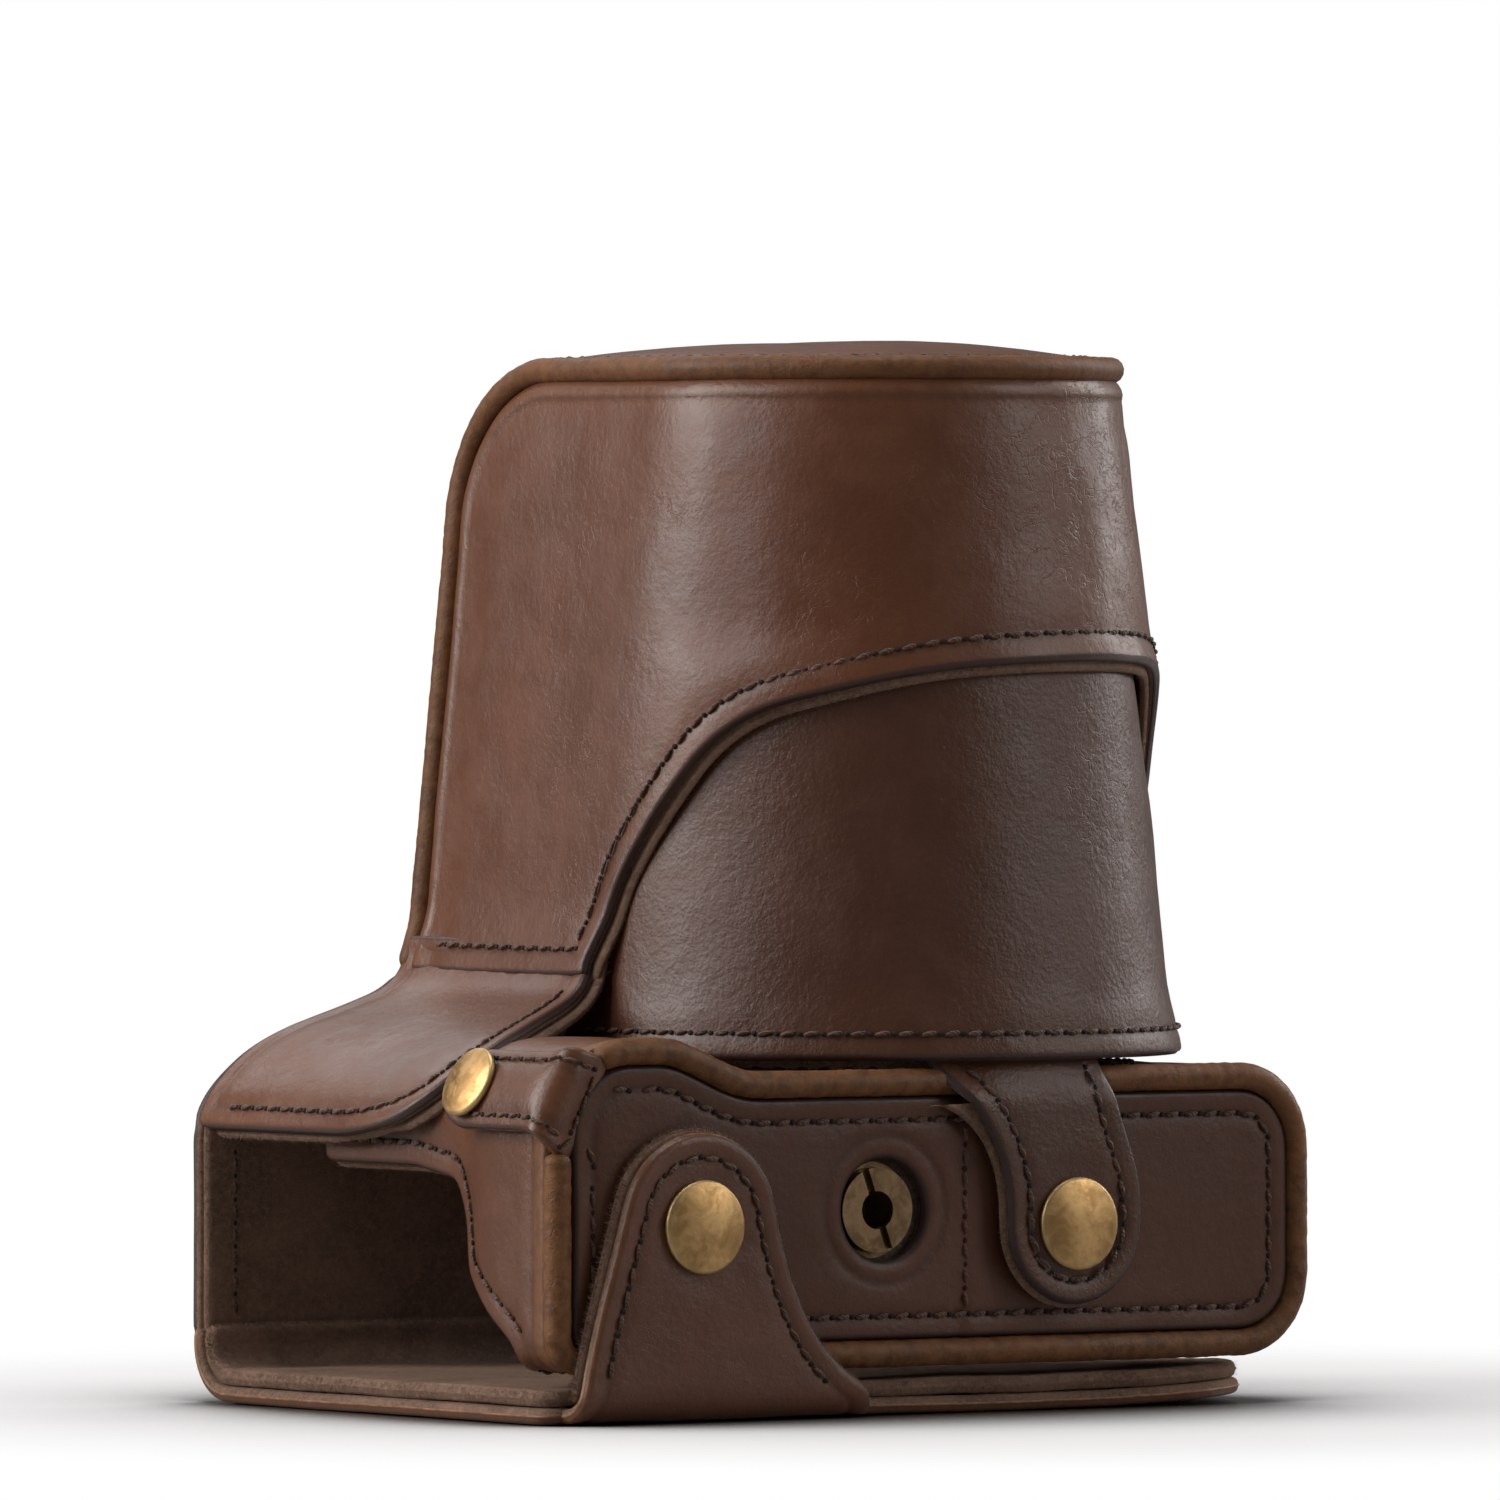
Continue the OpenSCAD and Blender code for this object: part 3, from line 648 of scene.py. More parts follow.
def leather(name, base, dark, light, rough=0.42, grain=1.0, creases=0.6, edge_paint_and_groove_shade=True,
            fold_place=None, worn=0.6, seed=0, coat=0.25, worn_tone=hexc(132, 87, 53), spec=0.36):
    """Leather; fold_place is the centre and reach of a creased patch."""
    k = Nodes(name)
    p = k.stretch(k.place(), (1, 1, 1), (seed * 31.0, seed * 17.0, seed * 5.0))
    # Colour: broad clouds, smaller mottling, faint pull-up streaks
    clouds = k.noise(p, 0.022, 3, 0.5, 0.3)
    mottle = k.noise(p, 0.12, 4, 0.6, 0.5)
    speck = k.noise(p, 1.3, 3, 0.6)
    streak = k.noise(k.stretch(p, (0.05, 0.05, 0.6)), 1.0, 4, 0.6, 0.5)
    tone = k.mix(k.span(clouds, 0.3, 0.7), dark, base)
    tone = k.mix(k.span(mottle, 0.38, 0.76, 0, 0.3), tone, light)
    tone = k.mix(k.span(streak, 0.5, 0.8, 0, 0.14), tone, light)
    tone = k.mix(k.span(speck, 0.5, 0.8, 0, 0.12), tone, tuple(c * 1.4 for c in light))
    # Grain: small rounded cells with pores
    warp = k.node("VectorMath", operation="ADD")
    wn = k.node("TexNoise")
    k.put(wn.inputs["Vector"], p)
    wn.inputs["Scale"].default_value = 0.5
    k.put(warp.inputs[0], p)
    k.put(warp.inputs[1], wn.outputs["Color"])
    cell = k.cells(warp.outputs[0], 1.15, "SMOOTH_F1")
    fine = k.noise(p, 2.6, 3, 0.6)
    pores = k.cells(p, 0.75)
    height = k.math("ADD", k.math("MULTIPLY", cell, -0.5), k.math("MULTIPLY", fine, 0.6))
    height = k.math("ADD", height, k.span(pores, 0.0, 0.16, -0.25, 0.0))
    # Creases: thin bent lines, gathered in patches
    bent = k.node("VectorMath", operation="ADD")
    bn = k.node("TexNoise")
    k.put(bn.inputs["Vector"], k.stretch(p, (1, 1, 1), (9, 4, 2)))
    bn.inputs["Scale"].default_value = 0.16
    bn.inputs["Detail"].default_value = 3
    sc = k.node("VectorMath", operation="SCALE")
    k.put(sc.inputs[0], bn.outputs["Color"])
    sc.inputs["Scale"].default_value = 9.0
    k.put(bent.inputs[0], p)
    k.put(bent.inputs[1], sc.outputs[0])
    line = k.cells(k.stretch(bent.outputs[0], (0.2, 0.2, 0.34)), 1.0, "DISTANCE_TO_EDGE")
    line2 = k.cells(k.stretch(bent.outputs[0], (0.55, 0.55, 0.8), (5, 1, 8)), 1.0,
                    "DISTANCE_TO_EDGE")
    patch = k.span(k.noise(p, 0.045, 2, 0.5, 0.3), 0.54, 0.7, 0.0, 0.5)
    if fold_place is not None:
        c, r = fold_place
        dv = k.node("VectorMath", operation="DISTANCE")
        k.put(dv.inputs[0], k.place())
        dv.inputs[1].default_value = c
        patch = k.math("ADD", patch, k.span(dv.outputs["Value"], r * 0.45, r, 1.0, 0.0), True)
    broken = k.span(k.noise(p, 0.35, 3, 0.6), 0.42, 0.6)
    shown = k.math("MULTIPLY", patch, broken)
    crease = k.math("MULTIPLY", k.span(line, 0.0, 0.03, 1.0, 0.0), shown)
    crease2 = k.math("MULTIPLY", k.span(line2, 0.0, 0.05, 0.6, 0.0), shown)
    crease = k.math("MULTIPLY", k.math("MAXIMUM", crease, crease2), creases)
    tone = k.mix(k.math("MULTIPLY", crease, 0.3), tone, tuple(c * 1.9 for c in light))
    # Wear lightens, and the dark edge coating darkens the cut edge where it isn't rubbed off; a darker line along
    # the seam groove is painted shade
    wear = k.value("wear")
    rub = k.math("MULTIPLY", wear, k.span(k.noise(p, 0.5, 5, 0.7), 0.3, 0.62, 0.25, 1.0))
    tone = k.mix(k.math("MULTIPLY", rub, worn, True), tone, worn_tone)
    rgh = k.math("ADD", rough, k.span(mottle, 0.3, 0.7, -0.06, 0.08))
    rgh = k.math("ADD", rgh, k.math("MULTIPLY", crease, 0.1))
    if edge_paint_and_groove_shade:
        edge = k.value("edge")
        kept = k.math("MULTIPLY", k.span(edge, 0.35, 1.0, 0.8, 0.0),
                      k.span(wear, 0.45, 0.85, 1.0, 0.15))
        tone = k.mix(kept, tone, hexc(46, 34, 33))
        # Darker line along the sunk seam groove, 3.1 mm in from the edge: painted shade in the groove
        seam = k.math("ABSOLUTE", k.math("SUBTRACT", edge, 3.1))
        tone = k.mix(k.span(seam, 0.1, 1.0, 0.3, 0.0), tone, tuple(c * 0.45 for c in dark))
    n = k.bump(height, 0.32 * grain, 0.22)
    n = k.bump(crease, 0.5, -0.25, n)
    n = k.bump(k.noise(p, 0.3, 3, 0.5), 0.25, 0.4, n)
    return k.set(Base_Color=tone, Roughness=rgh, Normal=n, Coat_Weight=coat, Coat_Roughness=0.3,
                 Coat_Normal=n, Specular_IOR_Level=spec)


def paint_edge(name, a, b):
    k = Nodes(name)
    p = k.place()
    n1 = k.noise(p, 0.6, 4, 0.65)
    tone = k.mix(k.span(n1, 0.35, 0.7), a, b)
    rub = k.span(k.noise(p, 0.18, 4, 0.6, 0.5), 0.54, 0.72, 0.0, 0.45)
    tone = k.mix(rub, tone, hexc(96, 68, 48))
    n = k.bump(k.noise(p, 1.8, 3, 0.6), 0.4, 0.3)
    return k.set(Base_Color=tone, Roughness=0.55, Normal=n, Coat_Weight=0.08, Coat_Roughness=0.5)


def suede(name, base, light, dark):
    k = Nodes(name)
    p = k.place()
    broad = k.noise(p, 0.07, 4, 0.6, 0.8)
    nap = k.noise(p, 1.1, 5, 0.7, 0.4)
    fibre = k.noise(p, 4.5, 4, 0.75, 1.2)
    tone = k.mix(k.span(broad, 0.35, 0.65), dark, base)
    tone = k.mix(k.span(nap, 0.4, 0.7, 0, 0.55), tone, light)
    tone = k.mix(k.span(fibre, 0.42, 0.68, 0, 0.4), tone, tuple(c * 1.35 for c in light))
    n = k.bump(fibre, 0.75, 0.5)
    n = k.bump(nap, 0.6, 0.7, n)
    return k.set(Base_Color=tone, Roughness=0.95, Normal=n, Sheen_Weight=0.15, Sheen_Roughness=0.45,
                 Sheen_Tint=(0.8, 0.66, 0.58), Specular_IOR_Level=0.15)


def brass(name, made=True, dark=0.3, rough=0.42, low=hexc(128, 101, 66), high=hexc(166, 136, 92)):
    k = Nodes(name)
    p = k.place(made)
    spots = k.noise(p, 0.3, 4, 0.6, 0.6)
    fine = k.noise(p, 1.6, 5, 0.65, 0.4)
    scratch = k.noise(k.stretch(p, (0.25, 1.0, 3.2)), 1.4, 3, 0.6, 0.3)
    tone = k.mix(k.span(spots, 0.34, 0.68), low, high)
    tone = k.mix(k.span(fine, 0.42, 0.72, 0, 0.4), tone, tuple(c * 1.35 for c in low))
    tone = k.mix(k.span(spots, 0.58, 0.8, 0, dark), tone, tuple(c * 0.5 for c in low))
    if made:
        tone = k.mix(k.math("MULTIPLY", k.value("wear"), 0.75), tone, hexc(216, 190, 140))
    rgh = k.math("ADD", rough, k.span(fine, 0.3, 0.7, -0.05, 0.1))
    n = k.bump(fine, 0.12, 0.1)
    n = k.bump(scratch, 0.08, 0.08, n)
    return k.set(Base_Color=tone, Metallic=1.0, Roughness=rgh, Normal=n)


def thread(name, a, b):
    k = Nodes(name)
    p = k.place()
    ply = k.node("TexWave", wave_type="BANDS", bands_direction="DIAGONAL")
    k.put(ply.inputs["Vector"], p)
    ply.inputs["Scale"].default_value = 0.9
    ply.inputs["Distortion"].default_value = 1.0
    tone = k.mix(k.span(k.noise(p, 0.35, 3, 0.6), 0.35, 0.65), a, b)
    n = k.bump(ply.outputs["Fac"], 0.5, 0.2)
    return k.set(Base_Color=tone, Roughness=0.6, Normal=n, Sheen_Weight=0.2)


# Near-black painted shade for the needle holes, which are dark blobs rather than real holes
def painted_hole_shade(name):
    k = Nodes(name)
    p = k.place()
    tone = k.mix(k.noise(p, 2.0), hexc(20, 13, 10), hexc(38, 25, 19))
    return k.set(Base_Color=tone, Roughness=0.9)


def fibre_board(name):
    k = Nodes(name)
    p = k.place(False)
    n1 = k.noise(p, 0.9, 5, 0.7, 0.8)
    tone = k.mix(k.span(n1, 0.35, 0.65), hexc(58, 47, 38), hexc(88, 72, 57))
    return k.set(Base_Color=tone, Roughness=0.9, Normal=k.bump(n1, 0.4, 0.3))


LEATHER = leather("leather_cover", hexc(100, 58, 35), hexc(86, 49, 30), hexc(114, 69, 44),
                  fold_place=((20.0, -33.0, 122.0), 26.0), seed=1, rough=0.4)
LEATHER_SKIRT = leather("leather_skirt", hexc(84, 50, 32), hexc(74, 43, 28), hexc(96, 59, 40),
                        fold_place=((18.0, -36.0, 84.0), 18.0), rough=0.4, grain=1.7, seed=2,
                        creases=0.5, coat=0.2)
LEATHER_BASE = leather("leather_base", hexc(88, 52, 36), hexc(78, 46, 31), hexc(98, 60, 42),
                       rough=0.46, grain=0.9, seed=3, creases=0.3, coat=0.1, spec=0.3)
LEATHER_TRAY = leather("leather_tray", hexc(98, 58, 36), hexc(84, 49, 30), hexc(114, 70, 44),
                       grain=1.1, seed=4, worn=0.7)
CORD = leather("leather_cord", hexc(88, 52, 30), hexc(58, 34, 20), hexc(128, 82, 48), rough=0.52,
               spec=0.3, grain=1.6, edge_paint_and_groove_shade=False, seed=5, worn=0.8, creases=1.0,
               worn_tone=hexc(156, 106, 62), coat=0.0)
EDGE = paint_edge("edge_paint", hexc(52, 36, 33), hexc(70, 49, 43))
EDGE_TAN = paint_edge("edge_worn", hexc(104, 68, 42), hexc(150, 105, 64))
SUEDE = suede("suede_lining", hexc(142, 112, 94), hexc(176, 144, 122), hexc(112, 87, 72))
THREAD = thread("sewing_thread", hexc(66, 39, 24), hexc(90, 56, 35))
# Painted shade for the needle holes
HOLE_SHADE = painted_hole_shade("needle_hole_painted_shade")
BRASS = brass("antique_brass", low=hexc(158, 124, 80), high=hexc(205, 168, 116))
BRASS_DARK = brass("antique_brass_screw", False, 0.4, 0.45, hexc(100, 80, 58), hexc(140, 116, 88))
BRASS_PLAIN = brass("antique_brass_inner", False, 0.3, 0.45)
BOARD = fibre_board("stiff_board")
# The last material of each list is the painted shade in the needle holes
SKIN = [LEATHER, EDGE, SUEDE, THREAD, HOLE_SHADE]
SKIN_SKIRT = [LEATHER_SKIRT, EDGE, SUEDE, THREAD, HOLE_SHADE]
SKIN_BASE = [LEATHER_BASE, EDGE, SUEDE, THREAD, HOLE_SHADE]
SKIN_TRAY = [LEATHER_TRAY, EDGE_TAN, SUEDE, THREAD, HOLE_SHADE]
SKIN_WORN = [LEATHER, EDGE_TAN, SUEDE, THREAD, HOLE_SHADE]
NAP = [SUEDE, SUEDE, SUEDE, THREAD, HOLE_SHADE]


# ---------------------------------------------------------------- surfaces


def plane(y, front=True):
    @surface(1 if front else -1)
    def base(u, v):
        return np.stack([u, np.full_like(u, y), v], 1)
    return base


def nose_half(z):
    return NOSE_R + TAPER * (NOSE_TOP - z)


# The wrap's upper edge: its height, its back, the centre of its rounded corner and its roll
WRAP_TOP = NOSE_TOP + 0.2
WRAP_BACK = COVER_Y - 2.0
WRAP_YC, WRAP_ZC = WRAP_BACK - SPINE_R, WRAP_TOP - SPINE_R
ROLL = 3.4


def from_roll(u, z):
    """How far a point of the wrap, unrolled, lies inside its rolled upper edge."""
    y = np.maximum(np.abs(u) - FRONT, 0)
    above, behind = WRAP_TOP - z, WRAP_BACK - y
    e = np.where(y > WRAP_YC, behind, above)
    corner = np.where(y > WRAP_YC, SPINE_R - np.hypot(y - WRAP_YC, z - WRAP_ZC), above)
    e = np.where(z > WRAP_ZC, corner, e)
    return np.where((z <= WRAP_ZC) & (y <= WRAP_YC), np.minimum(above, behind), e)


@surface(1)
def nose_base(u, v):
    side = np.sign(u)
    flat = np.maximum(np.abs(u) - FRONT, 0)
    phi = np.clip(np.abs(u), 0, FRONT) / UNROLL * side
    e = from_roll(u, v)
    k = np.clip(e, 0, ROLL)
    roll = ROLL - np.sqrt(np.maximum(ROLL ** 2 - (ROLL - k) ** 2, 0))
    # The wall swings out a little over the hood
    flare = 1.9 * smoothstep(v, 68, 57) * smoothstep(np.abs(phi), 1.1, 1.5)
    hem = 0.8 * smoothstep(v, 106, 98) * smoothstep(np.abs(phi), 1.5, 1.0)
    r = nose_half(v) - roll + flare + hem
    # Small hollow under the roll
    r = r - 0.35 * np.exp(-((e - 6.5) / 2.6) ** 2)
    x = np.where(np.abs(u) > FRONT, r * side, r * np.sin(phi))
    y = np.where(np.abs(u) > FRONT, flat, -r * np.cos(phi))
    return np.stack([x, y, v], 1)


CAP_TOP = RIM_Z + 0.9
CAP_BACK = COVER_Y - 0.6
CAP_R = SPINE_R - 0.6
CAP_FLAT = CAP_BACK - CAP_R
CAP_ARC = CAP_R * PI / 2


def cap_path(s):
    """Turn, y and z of the strip's middle at length s: along the end, round the bend, down the back."""
    a = np.clip((s - CAP_FLAT) / CAP_R, 0, PI / 2)
    y = np.where(s < CAP_FLAT, s, CAP_FLAT + CAP_R * np.sin(a))
    z = np.where(s < CAP_FLAT + CAP_ARC, CAP_TOP - CAP_R + CAP_R * np.cos(a),
                 CAP_TOP - CAP_R - (s - CAP_FLAT - CAP_ARC))
    return a, y, z


@surface(1)
def cap_base(u, v):
    """Crowned end and spine: u across, v from the front of the end over the back and down."""
    a, y, z = cap_path(v)
    half = nose_half(z)
    rho = np.where(v < 0, np.hypot(u, v), np.abs(u))
    fade = 1 - 0.75 * smoothstep(v, CAP_FLAT, CAP_FLAT + CAP_ARC)
    c = CROWN * fade * np.clip(1 - (rho / half) ** 2, -0.2, 1)
    return np.stack([u, y + c * np.sin(a), z + c * np.cos(a)], 1)


def cap_at_z(z):
    return CAP_FLAT + CAP_ARC + (CAP_TOP - CAP_R - z)


# Profiles of the hood's sides in X and Z; the far one is written mirrored
HOOD_LEFT = spline([(-COVER_X + 0.1, 36.9), (-COVER_X + 0.5, 39.2), (-75.6, 43.0), (-70.4, 47.3),
                    (-64, 50.4), (-54, 53.6), (-48.4, 55.7), (-45.3, 58.6), (-44.2, 63)])
HOOD_RIGHT = spline([(-46.2, 36.9), (-46.3, 44), (-46.1, 51.5), (-45.5, 56), (-44.6, 60),
                     (-44.2, 63)])


def extruded(profile, side):
    """A profile drawn out along Y, running straight on past both its ends."""
    s = lengths(profile)
    d0, d1 = profile[1] - profile[0], profile[-1] - profile[-2]
    d0, d1 = d0 / np.linalg.norm(d0), d1 / np.linalg.norm(d1)

    @surface(side)
    def base(u, v):
        before, after = np.minimum(u, 0), np.maximum(u - s[-1], 0)
        x, z = (np.interp(u, s, profile[:, i]) + d0[i] * before + d1[i] * after for i in (0, 1))
        return np.stack([x * side, v, z], 1)
    base.s = s
    return base


hood_left_base = extruded(HOOD_LEFT, 1)
hood_right_base = extruded(HOOD_RIGHT, -1)


def path_base(points, side):
    """A strip bent in Y and Z: u is X, v runs along the path."""
    p = np.array(points, float)
    s = lengths(p)

    @surface(side)
    def base(u, v):
        return np.stack([u, np.interp(v, s, p[:, 0]), np.interp(v, s, p[:, 1])], 1)
    base.s, base.p = s, p
    return base


def at_path(base, k, value):
    """Length along the path where coordinate k first reaches the value."""
    c = base.p[:, k]
    i = int(np.argmax((c - value) * (c[0] - value) <= 0))
    return base.s[i]


rear_front = -OVER_OUT + 4.0
rear_path = np.vstack([
    np.stack([np.linspace(rear_front - 4, COVER_Y - BEND_R, 180), np.zeros(180)], 1),
    arc(COVER_Y - BEND_R, BEND_R, BEND_R, -90, 0, 24)[1:],
    np.stack([np.full(60, COVER_Y), np.linspace(BEND_R, HOOD_Z, 61)[1:]], 1)])
rear_base0 = path_base(rear_path, -1)


@surface(-1)
def rear_base(u, v):
    p = rear_base0(u, v)
    # The free corner at the far end lifts a little
    p[:, 2] += smoothstep(u, 8, COVER_FAR) * smoothstep(v, 50, 0)
    return p


tongue_path = np.vstack([
    np.stack([np.linspace(rear_front + 9, rear_front, 14), np.zeros(14)], 1),
    np.stack([rear_front - 4 * np.sin(np.linspace(0, PI / 2, 16)),
              4 - 4 * np.cos(np.linspace(0, PI / 2, 16))], 1)[1:],
    np.stack([np.full(60, -OVER_OUT), np.linspace(4, 44, 61)[1:]], 1)])
tongue_base = path_base(tongue_path, 1)


# Skirt's radius at its hem and at its top
SKIRT_R0, SKIRT_R1, SKIRT_TOP = 42.7, 35.3, 112


@surface(1)
def skirt_base(u, v):
    phi = u / UNROLL
    r = SKIRT_R0 - (v - SKIRT_LOW) * (SKIRT_R0 - SKIRT_R1) / (SKIRT_TOP - SKIRT_LOW)
    r = r + 0.75 * smoothstep(v, 57, SKIRT_LOW)
    return np.stack([r * np.sin(phi), -r * np.cos(phi), v], 1)


# Radius of the skirt under the tab's root
TUCK_R = 41.0


@surface(1)
def tab_base(u, v):
    tuck = np.sqrt(np.maximum(TUCK_R ** 2 - u * u, 1))
    w = smoothstep(v, 41.3, 47.8)
    return np.stack([u, -(OVER_OUT * (1 - w) + tuck * w), v], 1)


def bulge(x):
    return BULGE * smoothstep(-x, 44.0, 60.0)


def tray_loop():
    """Outline of the bottom half in X and Z, from mid rear edge round by the grip end."""
    x0, x1, z0, z1 = -GRIP_X, FAR_X, TRAY_Z0, TRAY_Z1
    bx = np.linspace(-60, -44, 20)
    return np.vstack([
        [[0, z0]], arc(x0 + 5, z0 + 5, 5, 270, 180, 8),
        arc(CORNER[0], CORNER[1], CORNER_R, 180, 90, 20),
        np.stack([bx, z1 + bulge(bx)], 1),
        arc(x1 - FAR_R, z1 - FAR_R, FAR_R, 90, 0, 16),
        arc(x1 - FAR_R, z0 + FAR_R, FAR_R, 0, -90, 16), [[0.02, z0]]])


TRAY = resample(tray_loop(), 0.4)
TRAY_S = lengths(TRAY)


def tray_u(x, z):
    """Length along the outline nearest to a point."""
    return TRAY_S[int(np.argmin((TRAY[:, 0] - x) ** 2 + (TRAY[:, 1] - z) ** 2))]


@surface(1)
def tray_base(u, v):
    x = np.interp(u, TRAY_S, TRAY[:, 0])
    z = np.interp(u, TRAY_S, TRAY[:, 1])
    w = smoothstep(v, -25, -8)
    x = x + w * np.maximum(ARM_X - x, 0)
    roof = np.interp(x, [-54, -42], [ARM_Z, TRAY_Z1])
    z = z - smoothstep(v, -17, -8) * np.maximum(z - roof, 0)
    return np.stack([x, v, z], 1)


# The grip strap leaves the corner along strap_er; strap_et is the direction across it
STRAP_TILT = math.radians(153.6)
STRAP_OUT = CORNER_R + 2.4
strap_er = np.array([math.cos(STRAP_TILT), 0, math.sin(STRAP_TILT)])
strap_et = np.array([-math.sin(STRAP_TILT), 0, math.cos(STRAP_TILT)])
STRAP_PATH = spline([(6.5, -38.4), (9.4, -39.3), (12.2, -39.5), (14.2, -38.2), (14.9, -35.6),
                     (14.9, -30), (14.9, -12)])
STRAP_S = lengths(STRAP_PATH)


@surface(-1)
def strap_base(u, v):
    rho = np.interp(v, STRAP_S, STRAP_PATH[:, 0])
    y = np.interp(v, STRAP_S, STRAP_PATH[:, 1])
    w = smoothstep(y, -39.2, -35.0)
    a = u / STRAP_OUT
    along = rho - w * STRAP_OUT * (1 - np.cos(a))
    across = (1 - w) * u + w * STRAP_OUT * np.sin(a)
    c = np.array([CORNER[0], 0, CORNER[1]])
    return c + np.outer(along, strap_er) + np.outer(across, strap_et) + np.outer(y, [0, 1, 0])


def circle(cx, cz, r):
    return resample(arc(cx, cz, r, 0, 360, 72)[:-1], 0.8, True)


# ---------------------------------------------------------------- pieces


def skin(name, mats, base, loops, thick, body, nodes, sewn=(), fold=None, **how):
    """A leather sheet with its stitching; sewn lists the arguments of each call to stitches."""
    b = Build()
    sheet(b, base, loops, thick, **how)
    for args in sewn:
        stitches(b, base, *args)
    b.make(name, mats, body, nodes, fold)


def lining(name, base, loops, thick, lift, body, nodes, hair=None, fold=None, **how):
    """A suede sheet on the inner side; hair gives fibres per mm, their length and seed."""
    b = Build()
    sheet(b, base, loops, thick, lift=lift, groove=0, **how)
    if hair:
        fuzz(b, base, loops[0], thick, lift, *hair)
    b.make(name, NAP, body, nodes, fold)


def edge_wear(amount, reach):
    """Rubbing that fades away from the cut edge."""
    return lambda u, v, d: amount * np.exp(-d / reach)


DENT_R = 7.2


def ring_dent(centre_at, lift=0.0):
    """Hollow pressed into the leather round a snap cap."""
    cx, cz = centre_at

    def relief(u, v):
        q = np.hypot(u - cx, v - lift - cz)
        return -0.3 * np.exp(-((q - DENT_R) / 0.8) ** 2) - 0.25 * np.exp(-(q / (DENT_R * 0.9)) ** 4)
    return relief


# Distances from the edge at which a plain lining gets extra points
RINGS_LINING = (0.25, 0.8, 1.8, 3.2)
RINGS_WIDE = (0.3, 1.0, 2.4)
RINGS_SPARSE = (0.4, 1.4, 3.0)

# ---------------------------------------------------------------- nose

HEM_Z = 58.2
ARCH = spline([(-104, HEM_Z), (-66.5, HEM_Z), (-64.4, 59.4), (-63.3, 63), (-60.4, 71), (-56.0, 77.8),
               (-51.5, 83.5), (-47.1, 88.4), (-42.4, 92.0), (-36.8, 94.6), (-29, 96.6), (-20, 98.6),
               (-10, 100.1), (4, 100.9), (18, 100.9), (30, 100.3), (37.5, 98.9), (43, 95.6),
               (47.8, 89.8), (52.5, 82), (57.5, 73.5), (61.5, 66), (63.6, 60.4), (65.6, HEM_Z),
               (104, HEM_Z)], 0.8)


def nose_outline(rise=0.0, top=0.3):
    """Outline of the nose's wrap, unrolled: the arched hem below, the rolled edge above."""
    corner = arc(WRAP_YC, WRAP_ZC, SPINE_R - top, 0, 90, 24)
    hem = ARCH.copy()
    t = np.gradient(hem, axis=0)
    n = np.stack([t[:, 1], -t[:, 0]], 1)
    n /= np.linalg.norm(n, axis=1)[:, None]
    hem = hem + n * rise
    end = FRONT + WRAP_BACK - top
    hem = hem[np.abs(hem[:, 0]) < end - 0.5]
    right = np.stack([FRONT + corner[:, 0], corner[:, 1]], 1)
    left = np.stack([-right[::-1, 0], right[::-1, 1]], 1)
    low = HEM_Z - rise * 0.3
    return np.vstack([[[-end, low]], hem, [[end, low]], right, [[0, WRAP_TOP - top]], left])


def near_hem(u, v):
    """True along the arch and the hems beside it, false at the rolled edge."""
    return from_roll(u, v) > 5.0


def wrap_wear(u, v, d):
    e = from_roll(u, v)
    top = np.exp(-((e - 3.0) / 1.6) ** 2) * 0.55
    return top + 0.25 * np.exp(-d / 1.2) * (e > 6)


def wrap_relief(u, v):
    # Patch of creases on the far side of the front, and a slack diagonal
    soft = 0.25 * np.exp(-(((u - 22) / 15) ** 2 + ((v - 120) / 17) ** 2))
    k = soft * np.array([noise.noise(Vector((a / 4.5, b / 9.0, 2.0))) for a, b in zip(u, v)])
    slack = 0.5 * np.exp(-((u + 30 + (v - 95) * 0.5) / 12) ** 2) * smoothstep(v, 60, 90)
    return (k * 1.6 + slack) * smoothstep(from_roll(u, v), 2, 7)


wrap_loop = soften(nose_outline(), 1.0, 2)
skin("nose_wrap_leather", SKIN, nose_base, [wrap_loop], 1.7, "nose_cover", ("nose_wrap",),
     [(inset_runs(wrap_loop, 3.6, near_hem), 0.1, 5)],
     swell=0.35, size=26, seed=4, groove=3.6, wear=wrap_wear, relief=wrap_relief, grid=2.6)
lining("nose_lining_suede", nose_base, [soften(nose_outline(1.1, 2.4), 1.2, 2)], 1.3, -1.72,
       "nose_cover", ("nose_lining",), (7, 0.55, 21), swell=0.15, seed=6, grid=3.4,
       rings=RINGS_LINING, edge_r=0.45)

# Crowned end and spine, one strip from the front of the end down the back
cap_end = cap_at_z(57.6)


def cap_outline(inset):
    s = np.linspace(0.01, cap_end, 90)
    w = nose_half(cap_path(s)[2]) - inset
    front = arc(0, 0, nose_half(CAP_TOP) - inset, 180, 360, 60)
    return np.vstack([front, np.stack([w, s], 1), np.stack([-w[::-1], s[::-1]], 1)])


cap_loop = soften(cap_outline(2.3), 1.0, 1)
cap_runs = inset_runs(cap_loop, 2.4, lambda u, v: v < cap_end - 2.0)
cap_low = np.stack([np.linspace(-37, 37, 60), np.full(60, cap_end - 3.2)], 1)
skin("nose_end_and_spine_leather", SKIN, cap_base, [cap_loop], 1.9, "nose_cover", ("nose_spine",),
     [(cap_runs, 0.08, 7, 3.2, 0.3), ([cap_low], 0.12, 9)],
     swell=0.3, size=24, seed=8, groove=2.4, dip=0.3, grid=2.8, wear=edge_wear(0.35, 1.5))
lining("nose_end_lining_suede", cap_base, [soften(cap_outline(4.2), 1.4, 1)], 1.2, -1.95,
       "nose_cover", (), swell=0.1, seed=9, grid=4.0, rings=RINGS_SPARSE, edge_r=0.4)

# Piping between the wrap and the end, down both edges of the spine
PIPE_R = 1.75
PIPE_DROP = 0.9


